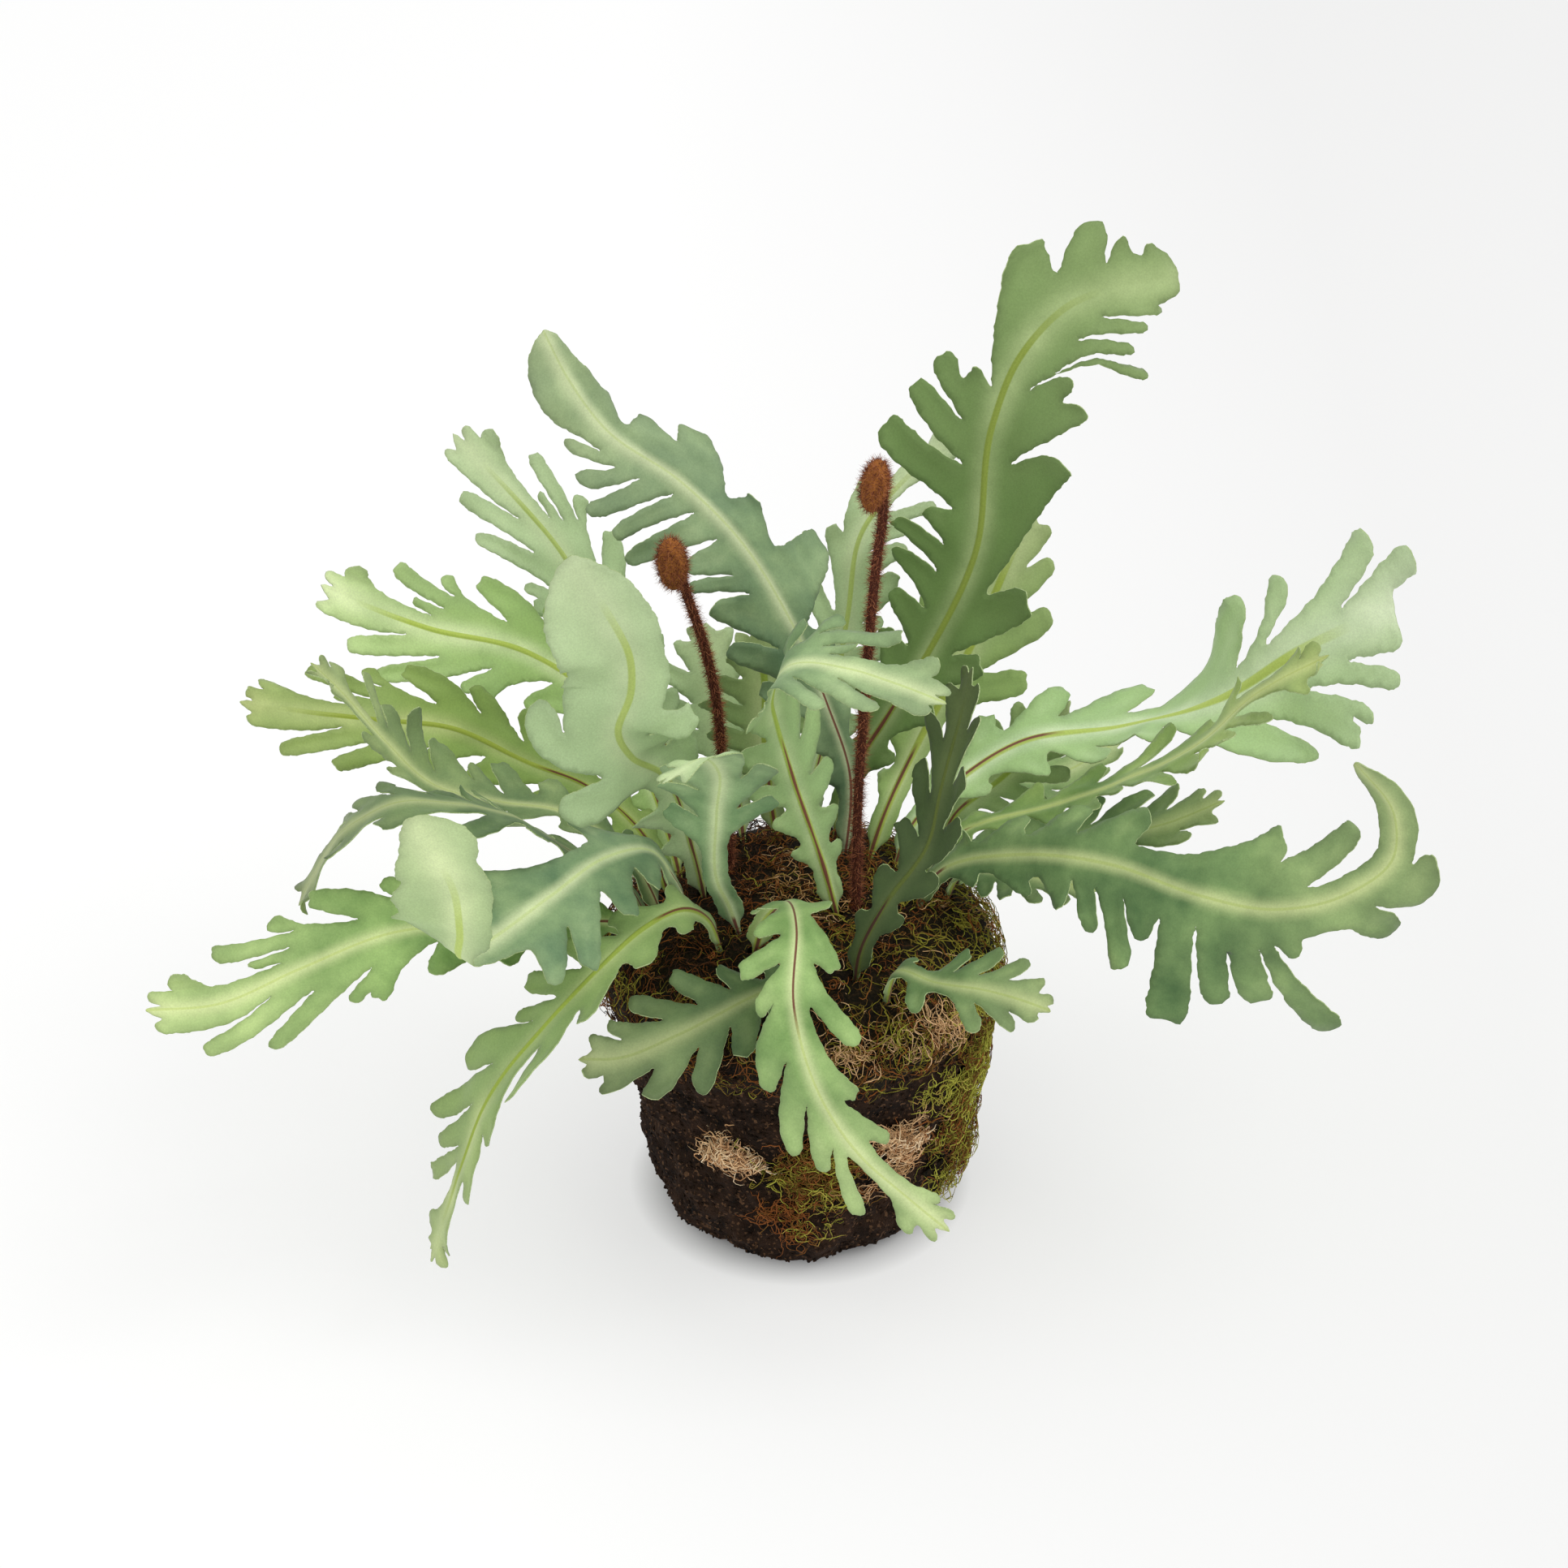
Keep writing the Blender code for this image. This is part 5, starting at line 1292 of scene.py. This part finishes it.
def leaf_print():
    """Leaf print: the dye of both sides of the cloth, with the glow and the rib, and each frond's painted
    light and shade.
    """
    tree = bpy.data.node_groups.new("Leaf print", "ShaderNodeTree")
    for label in (*DYE_LABELS, "Maroon"):
        tree.interface.new_socket(label, in_out="INPUT", socket_type="NodeSocketColor")
    tree.interface.new_socket("Color", in_out="OUTPUT", socket_type="NodeSocketColor")
    tree.interface.new_socket("Height", in_out="OUTPUT", socket_type="NodeSocketFloat")
    given = put(tree, "NodeGroupInput").outputs
    along, out, glow, back, light, blue, maroon_to, depth = (
        put(tree, "ShaderNodeAttribute", attribute_name=label).outputs["Fac"] for label in LEAF_VALUES
    )
    clouds = speckle(tree, 38, 4, 0.55)
    grain = speckle(tree, 1500, 2)
    # The front's greens in soft clouds, then the cream glow along the rib and the lobes
    soft = maths(tree, "ADD", glow, ranged(tree, clouds, 0.3, 0.7, -0.12, 0.12))
    front = mixed(tree, ranged(tree, clouds, 0.3, 0.66), given["Deep"], given["Green"])
    front = mixed(tree, ranged(tree, soft, 0.05, 1.0, 0.0, 0.68), front, given["Glow"])
    rear = mixed(tree, ranged(tree, soft, 0.05, 1.1, 0.0, 0.75), given["Back"], given["Back glow"])
    rear = mixed(tree, ranged(tree, clouds, 0.62, 0.36, 0.0, 0.42), rear, given["Green"])
    # Both sides fade towards the tip, and are a little darker at the cut edge
    base = mixed(tree, ranged(tree, back, 0.4, 0.6), front, rear)
    base = mixed(tree, ranged(tree, along, 0.6, 1.05, 0.0, 0.35), base, given["Back glow"])
    edge = ranged(tree, depth, 0.2, 4.0, 0.9, 1.03)
    base = scaled(tree, base, maths(tree, "ADD", edge, ranged(tree, clouds, 0.3, 0.7, -0.06, 0.06)))
    # The rib: the wire's ridge on the back, a faint printed line on the front, a maroon line low on both
    off = maths(tree, "ABSOLUTE", out)
    line = ranged(tree, off, 0.4, 0.75, 1.0, 0.0)
    wire = times(tree, back, ranged(tree, along, 0.8, 0.92, 0.95, 0.0), ranged(tree, off, 1.0, 1.5, 1.0, 0.0))
    base = mixed(tree, wire, base, given["Wire"])
    printed = times(tree, maths(tree, "SUBTRACT", 1.0, back), 0.35, line)
    base = mixed(tree, printed, base, given["Wire"])
    fade = ranged(tree, along, maroon_to, 0.0, 0.0, 12.0)
    red = times(tree, line, maths(tree, "MINIMUM", fade, 1.0), 0.92)
    base = mixed(tree, red, base, given["Maroon"])
    # This frond's lightness, which is partly its dye and partly painted light and shade, and how blue it is,
    # then the grain of the cloth
    painted_light_and_dye_tint = put(tree, "ShaderNodeCombineXYZ", {0: light, 1: light, 2: times(tree, light, blue)}).outputs[0]
    base = put(tree, "ShaderNodeVectorMath", {0: base, 1: painted_light_and_dye_tint}, operation="MULTIPLY").outputs[0]
    cloth = scaled(tree, base, ranged(tree, grain, 0.25, 0.75, 0.91, 1.09))
    height = maths(tree, "ADD", times(tree, grain, 0.5), speckle(tree, 650, 3))
    put(tree, "NodeGroupOutput", {"Color": cloth, "Height": height})
    return tree


# The cloth's dyes, as the labels say: the printed side in its deep and its middle green and the glow along
# its rib, then the back, its glow and the wire's ridge
DYE_LABELS = ("Deep", "Green", "Glow", "Back", "Back glow", "Wire")
DYES = {
    "sage": (
        (72, 104, 64), (122, 150, 100), (198, 208, 158), (140, 166, 108), (196, 208, 158), (148, 168, 66),
    ),
    "olive": (
        (80, 108, 60), (120, 148, 88), (190, 202, 140), (106, 137, 76), (184, 202, 150), (140, 158, 62),
    ),
    "teal": (
        (84, 112, 82), (128, 150, 110), (202, 210, 172), (134, 158, 112), (196, 208, 164), (160, 178, 96),
    ),
    "pale": (
        (100, 136, 76), (150, 180, 116), (210, 220, 172), (152, 182, 108), (218, 228, 180), (168, 186, 78),
    ),
    "mint": (
        (140, 168, 122), (168, 192, 144), (212, 222, 182), (174, 198, 150), (206, 218, 176), (172, 190, 104),
    ),
    # The dark dye is partly painted shade: only frond_upright_right, which stands in shade, wears it
    "dark": (
        (58, 84, 46), (84, 112, 66), (150, 170, 110), (110, 140, 86), (160, 180, 124), (140, 160, 70),
    ),
}
MAROON = (104, 38, 42)
# How far up the rib the maroon line runs, as a share of the leaf's length
MAROON_TO = 0.42

# Each frond's dye, whether the wire's side of the cloth is the one that the rib's `faces` show, how light and
# how blue it is painted beside the others, and its own MAROON_TO where it has one. The lightness is partly
# the dye and partly painted light and shade: fronds that stand in shade are painted darker,
# frond_upright_right most of all, and some fronds that face away from the light are painted lighter.
CLOTH = {
    "frond_tall_right": ("olive", True, 0.88, 0.88, 0.3), "frond_behind_right": ("pale", True, 0.9, 0.9),
    "frond_tall_left": ("teal", False, 1.17, 0.94), "frond_high_left": ("mint", True, 0.98, 0.96),
    "frond_back_pale": ("mint", True, 1.0, 0.95), "frond_back_green": ("sage", True, 1.0, 0.9),
    "frond_spoon_left": ("mint", True, 1.03, 0.97), "frond_upper_left": ("pale", True, 1.2, 1.0),
    "frond_mid_left": ("pale", True, 0.77, 0.72), "frond_arched_left": ("teal", False, 1.06, 0.74, 0.22),
    "frond_drooping_left": ("sage", False, 0.78, 0.84), "frond_long_left": ("pale", False, 1.1, 0.84),
    "frond_folded_left": ("teal", False, 1.38, 0.92, 0.2),
    "frond_hanging_left": ("sage", True, 1.02, 0.83, 0.3), "frond_front": ("pale", False, 1.04, 0.88, 0.6),
    "frond_small_front_left": ("sage", False, 0.67, 0.84),
    "frond_small_front_right": ("sage", False, 0.98, 0.84, 0.3),
    "frond_upright_right": ("dark", True, 0.36, 0.75), "frond_upright_left": ("sage", False, 1.42, 1.08, 0.2),
    "frond_bent_over": ("sage", True, 1.3, 1.0, 0.5),
    "frond_long_right": ("pale", True, 1.14, 1.22), "frond_mid_right": ("pale", False, 0.84, 0.68, 0.25),
    "frond_broad_right": ("sage", False, 1.07, 0.84, 0.17), "frond_ribbed_right": ("sage", False, 1.0, 0.85),
    "frond_low_right": ("sage", False, 1.0, 0.85), "frond_back_tall": ("mint", True, 1.0, 0.95),
    "frond_far_right": ("pale", False, 1.0, 0.9), "frond_back_right": ("sage", True, 1.0, 0.9),
}


def leaf_cloth(name, dye, printed_leaf):
    """Dyed cloth: matt, with a fine woven grain."""
    made, tree, shader = new_material("leaf_" + name, 0.62, 0.3)
    shader.inputs["Sheen Weight"].default_value = 0.1
    shades = {label: colour(*shade) for label, shade in zip((*DYE_LABELS, "Maroon"), (*dye, MAROON))}
    leaf = put(tree, "ShaderNodeGroup", shades, node_tree=printed_leaf).outputs
    paint(tree, shader, leaf["Color"], leaf["Height"], 0.25, 0.2)
    return made


def rim_cloth():
    """The cut rim, where the undyed core of the cloth shows as a pale line."""
    made, tree, shader = new_material("leaf_rim", 0.8, 0.5)
    threads = ranged(tree, speckle(tree, 1800, 2), 0.35, 0.65)
    paint(tree, shader, mixed(tree, threads, colour(136, 160, 102), colour(180, 194, 142)))
    return made


leaf_printing = leaf_print()
cloths = {name: leaf_cloth(name, dye, leaf_printing) for name, dye in DYES.items()}
rim = rim_cloth()
for seed, (name, frond) in enumerate(FRONDS.items()):
    dye, wire_up, light, blue, *own_maroon_to = CLOTH[name]
    maroon_to = own_maroon_to[0] if own_maroon_to else MAROON_TO
    sheet = leaf_sheet(name, frond, seed, wire_up, light, blue, maroon_to)
    piece = new_object(name.replace("frond", "leaf"), sheet)
    piece.data.materials.append(cloths[dye])
    piece.data.materials.append(rim)
    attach(piece, "root")
    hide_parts(name)


# The fiddleheads
# Two young fronds still rolled up: a stalk and an egg-shaped head with its roll showing as a low coil,
# both wrapped in red-brown fur. Every hair is a bent three-sided cone.

FIDDLEHEADS = {
    "fiddlehead_tall": {
        "root": (21, -4),
        "stalk": ((21, -4, 176), (23, -2, 221), (27, 2, 281), (29, 3, 300), (29, 3, 307)),
        "head": (26, 3, 311), "size": (5.0, 4.4, 10.6), "tilt": 8, "seed": 51,
    },
    "fiddlehead_short": {
        "root": (-27, 22),
        "stalk": ((-30, 21, 185), (-32, 16, 215), (-38, 12, 247), (-42, 10, 262), (-44, 9, 271)),
        "head": (-47, 8, 276), "size": (5.4, 4.6, 10.6), "tilt": -4, "seed": 52,
    },
}
STALK_RADIUS = 1.7
STALK_SIDES = 10
HEAD_CUTS = (40, 28)
HEAD_COILS = 1.6
COIL_RELIEF = 0.14
HEAD_TONE = 1.2
FUR_LENGTH = 2.3
FUR_RADIUS = 0.11
FUR_BEND = 260.0
# How far a hair leans, in radians, and how long the shortest and the longest are beside FUR_LENGTH
FUR_LEAN = 0.75
FUR_SIZES = (0.35, 1.3)
HAIRS_PER_SQUARE_MM = 3.4


def add_tube(bm, path, radius, sides):
    """A round tube along the path."""
    rings, side_way = [], Vector((0, 1, 0))
    for number, place in enumerate(path):
        ahead = (path[min(number + 1, len(path) - 1)] - path[max(number - 1, 0)]).normalized()
        side_way = (side_way - ahead * side_way.dot(ahead)).normalized()
        other = ahead.cross(side_way)
        rings.append([
            bm.verts.new((place + (side_way * math.cos(a) + other * math.sin(a)) * radius) * MM)
            for a in (math.tau * k / sides for k in range(sides))
        ])
    for lower, upper in zip(rings, rings[1:]):
        for k in range(sides):
            bm.faces.new((lower[k], lower[(k + 1) % sides], upper[(k + 1) % sides], upper[k]))
    bm.faces.new(rings[0][::-1])
    bm.faces.new(rings[-1])


def add_ball(bm, sides, rings):
    """A ball of radius 1 about the origin, built ring by ring from its top; gives its vertices."""
    rows = []
    for ring in range(1, rings):
        down = math.pi * ring / rings
        rows.append([
            bm.verts.new((math.sin(down) * math.cos(a), math.sin(down) * math.sin(a), math.cos(down)))
            for a in (math.tau * k / sides for k in range(sides))
        ])
    top, foot = bm.verts.new((0, 0, 1)), bm.verts.new((0, 0, -1))
    for k in range(sides):
        after = (k + 1) % sides
        bm.faces.new((top, rows[0][k], rows[0][after]))
        bm.faces.new((foot, rows[-1][after], rows[-1][k]))
        for upper, lower in zip(rows, rows[1:]):
            bm.faces.new((upper[k], lower[k], lower[after], upper[after]))
    return [top, foot] + [vertex for row in rows for vertex in row]


def fiddle_core(parts):
    """The stalk and the head under their fur."""
    bm = bmesh.new()
    tone = bm.verts.layers.float.new("tone")
    stalk = smooth_path(soil_point(*parts["root"]), parts["stalk"])[::2]
    add_tube(bm, stalk, STALK_RADIUS, STALK_SIDES)
    wide, deep, tall = parts["size"]
    turn = Matrix.Rotation(math.radians(parts["tilt"]), 3, "Y")
    for vertex in add_ball(bm, *HEAD_CUTS):
        out, high = vertex.co.x, vertex.co.z
        radius, angle = math.hypot(out, high), math.atan2(high, out)
        coil = 1 + COIL_RELIEF * math.cos(angle - math.tau * HEAD_COILS * radius) * min(radius * 2, 1)
        egg = turn @ Vector((out * wide, vertex.co.y * coil * deep, high * tall))
        vertex.co = (Vector(parts["head"]) + egg) * MM
        vertex[tone] = HEAD_TONE
    bmesh.ops.recalc_face_normals(bm, faces=bm.faces)
    return mesh_of("fiddlehead", bm)


def fur_tree():
    """Fine bent hairs that stand out from a surface in all directions."""
    tree, given = geometry_tree("Fur", (
        ("Per square metre", "Float"), ("Length", "Float"), ("Hair radius", "Float"), ("Seed", "Int"),
        ("Core", "Material"), ("Hair", "Material"),
    ))
    spots = put(tree, "GeometryNodeDistributePointsOnFaces", {
        "Mesh": given["Geometry"], "Density": given["Per square metre"], "Seed": given["Seed"],
    }).outputs
    cone = put(tree, "GeometryNodeMeshCone", {
        "Vertices": 3, "Side Segments": 2, "Radius Top": 0.0, "Radius Bottom": 1.0, "Depth": 1.0,
    }, fill_type="NONE").outputs["Mesh"]
    radius = given["Hair radius"]
    size = put(tree, "ShaderNodeCombineXYZ", {0: radius, 1: radius, 2: given["Length"]}).outputs[0]
    sized = put(tree, "GeometryNodeTransform", {"Geometry": cone, "Scale": size}).outputs[0]
    place = put(tree, "GeometryNodeInputPosition").outputs[0]
    height = put(tree, "ShaderNodeSeparateXYZ", {0: place}).outputs["Z"]
    shift = put(tree, "ShaderNodeCombineXYZ", {0: times(tree, height, height, FUR_BEND)}).outputs[0]
    bent = put(tree, "GeometryNodeSetPosition", {"Geometry": sized, "Offset": shift}).outputs[0]
    lean = random_value(tree, (-FUR_LEAN, -FUR_LEAN, -3.14), (FUR_LEAN, FUR_LEAN, 3.14))
    upright = put(tree, "FunctionNodeAlignRotationToVector", {"Vector": spots["Normal"]}, axis="Z").outputs[0]
    turned = put(tree, "FunctionNodeRotateRotation", {0: upright, 1: lean}, rotation_space="LOCAL").outputs[0]
    hairs = put(tree, "GeometryNodeInstanceOnPoints", {
        "Points": spots["Points"], "Instance": bent, "Rotation": turned,
        "Scale": random_value(tree, *FUR_SIZES, 3),
    }).outputs[0]
    toned = put(tree, "GeometryNodeStoreNamedAttribute", {
        "Geometry": hairs, "Name": "tone", "Value": random_value(tree, 0.0, 1.0, 8),
    }, data_type="FLOAT", domain="INSTANCE").outputs[0]
    loose = put(tree, "GeometryNodeRealizeInstances", {0: toned}).outputs[0]
    furry = with_material(tree, loose, given["Hair"])
    core = with_material(tree, given["Geometry"], given["Core"])
    put(tree, "NodeGroupOutput", {0: joined(tree, furry, core)})
    return tree


core_look = fibre_material("fiddle_core", (
    (0.0, (70, 34, 24)), (0.3, (110, 64, 34)), (0.6, (160, 100, 48)),
), 0.9)
hair_look = fibre_material("fiddle_fur", (
    (0.0, (84, 40, 30)), (0.25, (126, 68, 46)), (0.5, (184, 120, 82)),
), 0.7)
fur = fur_tree()
for name, parts in FIDDLEHEADS.items():
    piece = new_object(name.replace("fiddlehead", "crozier"), fiddle_core(parts))
    made_by(
        fur, piece, per_square_metre=HAIRS_PER_SQUARE_MM / MM**2, length=FUR_LENGTH * MM,
        hair_radius=FUR_RADIUS * MM, seed=parts["seed"], core=core_look, hair=hair_look,
    )
    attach(piece, "root")
    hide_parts(name)


# The studio
# A plain white floor that glows, with painted shade in its glow: a painted falloff of light that leaves it a
# little greyer at the right, and a painted shadow round the ball's foot. A big soft light over the plant's
# right shoulder, and white all round it. The camera looks down on the plant at 33 degrees, as the photograph
# does. Here the sizes are in metres.

WHITE = (1, 1, 1, 1)
WORLD_LIGHT = 0.92
FLOOR_HALF_SIZE = 6
FLOOR_COLOUR = (0.45, 0.45, 0.447, 1)
FLOOR_GLOW = 0.53
# The floor glows less near the ball's foot: a painted contact shadow
PAINTED_SHADOW_GLOW = 0.06
PAINTED_SHADOW_REACH = (0.048, 0.068)
# From left to right, over this span, the floor's glow falls to this share of itself: painted shade, for light
# that falls off towards the right
PAINTED_SIDE_SHADE = (-0.1, 0.3)
RIGHT_SHADE_SHARE = 0.77
KEY_PLACE = (0.9, -0.4, 2.0)
KEY_TARGET = (0, 0, 0.15)
KEY_SIZE = 1.2
KEY_POWER = 13
CAMERA_TILT = math.radians(33)
CAMERA_DISTANCE = 1.5
CAMERA_AIM = (-0.0065, 0, 0.186)
SENSOR_WIDTH = 36
FRAME_WIDTH_AT_AIM = 1932 / 3300

bpy.context.scene.view_settings.view_transform = "Standard"
floor_bm = bmesh.new()
bmesh.ops.create_grid(floor_bm, x_segments=1, y_segments=1, size=FLOOR_HALF_SIZE)
floor = new_object("floor", mesh_of("floor", floor_bm))
floor_look, tree, shader = new_material("floor", 0.9, 0.1)
shader.inputs["Base Color"].default_value = FLOOR_COLOUR
shader.inputs["Emission Color"].default_value = WHITE
place = put(tree, "ShaderNodeTexCoord").outputs["Object"]
from_foot = put(tree, "ShaderNodeVectorMath", {0: place}, operation="LENGTH").outputs["Value"]
sideways = put(tree, "ShaderNodeSeparateXYZ", {0: place}).outputs["X"]
# The floor's glow, with the painted shadow round the foot and the painted shade towards the right
glow = times(
    tree, ranged(tree, from_foot, *PAINTED_SHADOW_REACH, PAINTED_SHADOW_GLOW, FLOOR_GLOW),
    ranged(tree, sideways, *PAINTED_SIDE_SHADE, 1.0, RIGHT_SHADE_SHARE),
)
tree.links.new(glow, shader.inputs["Emission Strength"])
floor.data.materials.append(floor_look)

world = bpy.data.worlds.new("studio")
bpy.context.scene.world = world
world.use_nodes = True
sky = world.node_tree.nodes["Background"].inputs
sky["Color"].default_value = WHITE
sky["Strength"].default_value = WORLD_LIGHT

key_data = bpy.data.lights.new("key", "AREA")
key_data.shape = "DISK"
key_data.size = KEY_SIZE
key_data.energy = KEY_POWER
key = new_object("key", key_data)
key.location = KEY_PLACE
key.rotation_euler = (Vector(KEY_TARGET) - Vector(KEY_PLACE)).to_track_quat("-Z", "Y").to_euler()

camera_data = bpy.data.cameras.new("camera")
camera_data.sensor_width = SENSOR_WIDTH
camera_data.lens = SENSOR_WIDTH * CAMERA_DISTANCE / FRAME_WIDTH_AT_AIM
camera = new_object("camera", camera_data)
away = Vector((0, -math.cos(CAMERA_TILT), math.sin(CAMERA_TILT)))
camera.location = Vector(CAMERA_AIM) + away * CAMERA_DISTANCE
camera.rotation_euler = (math.pi / 2 - CAMERA_TILT, 0, 0)
bpy.context.scene.camera = camera
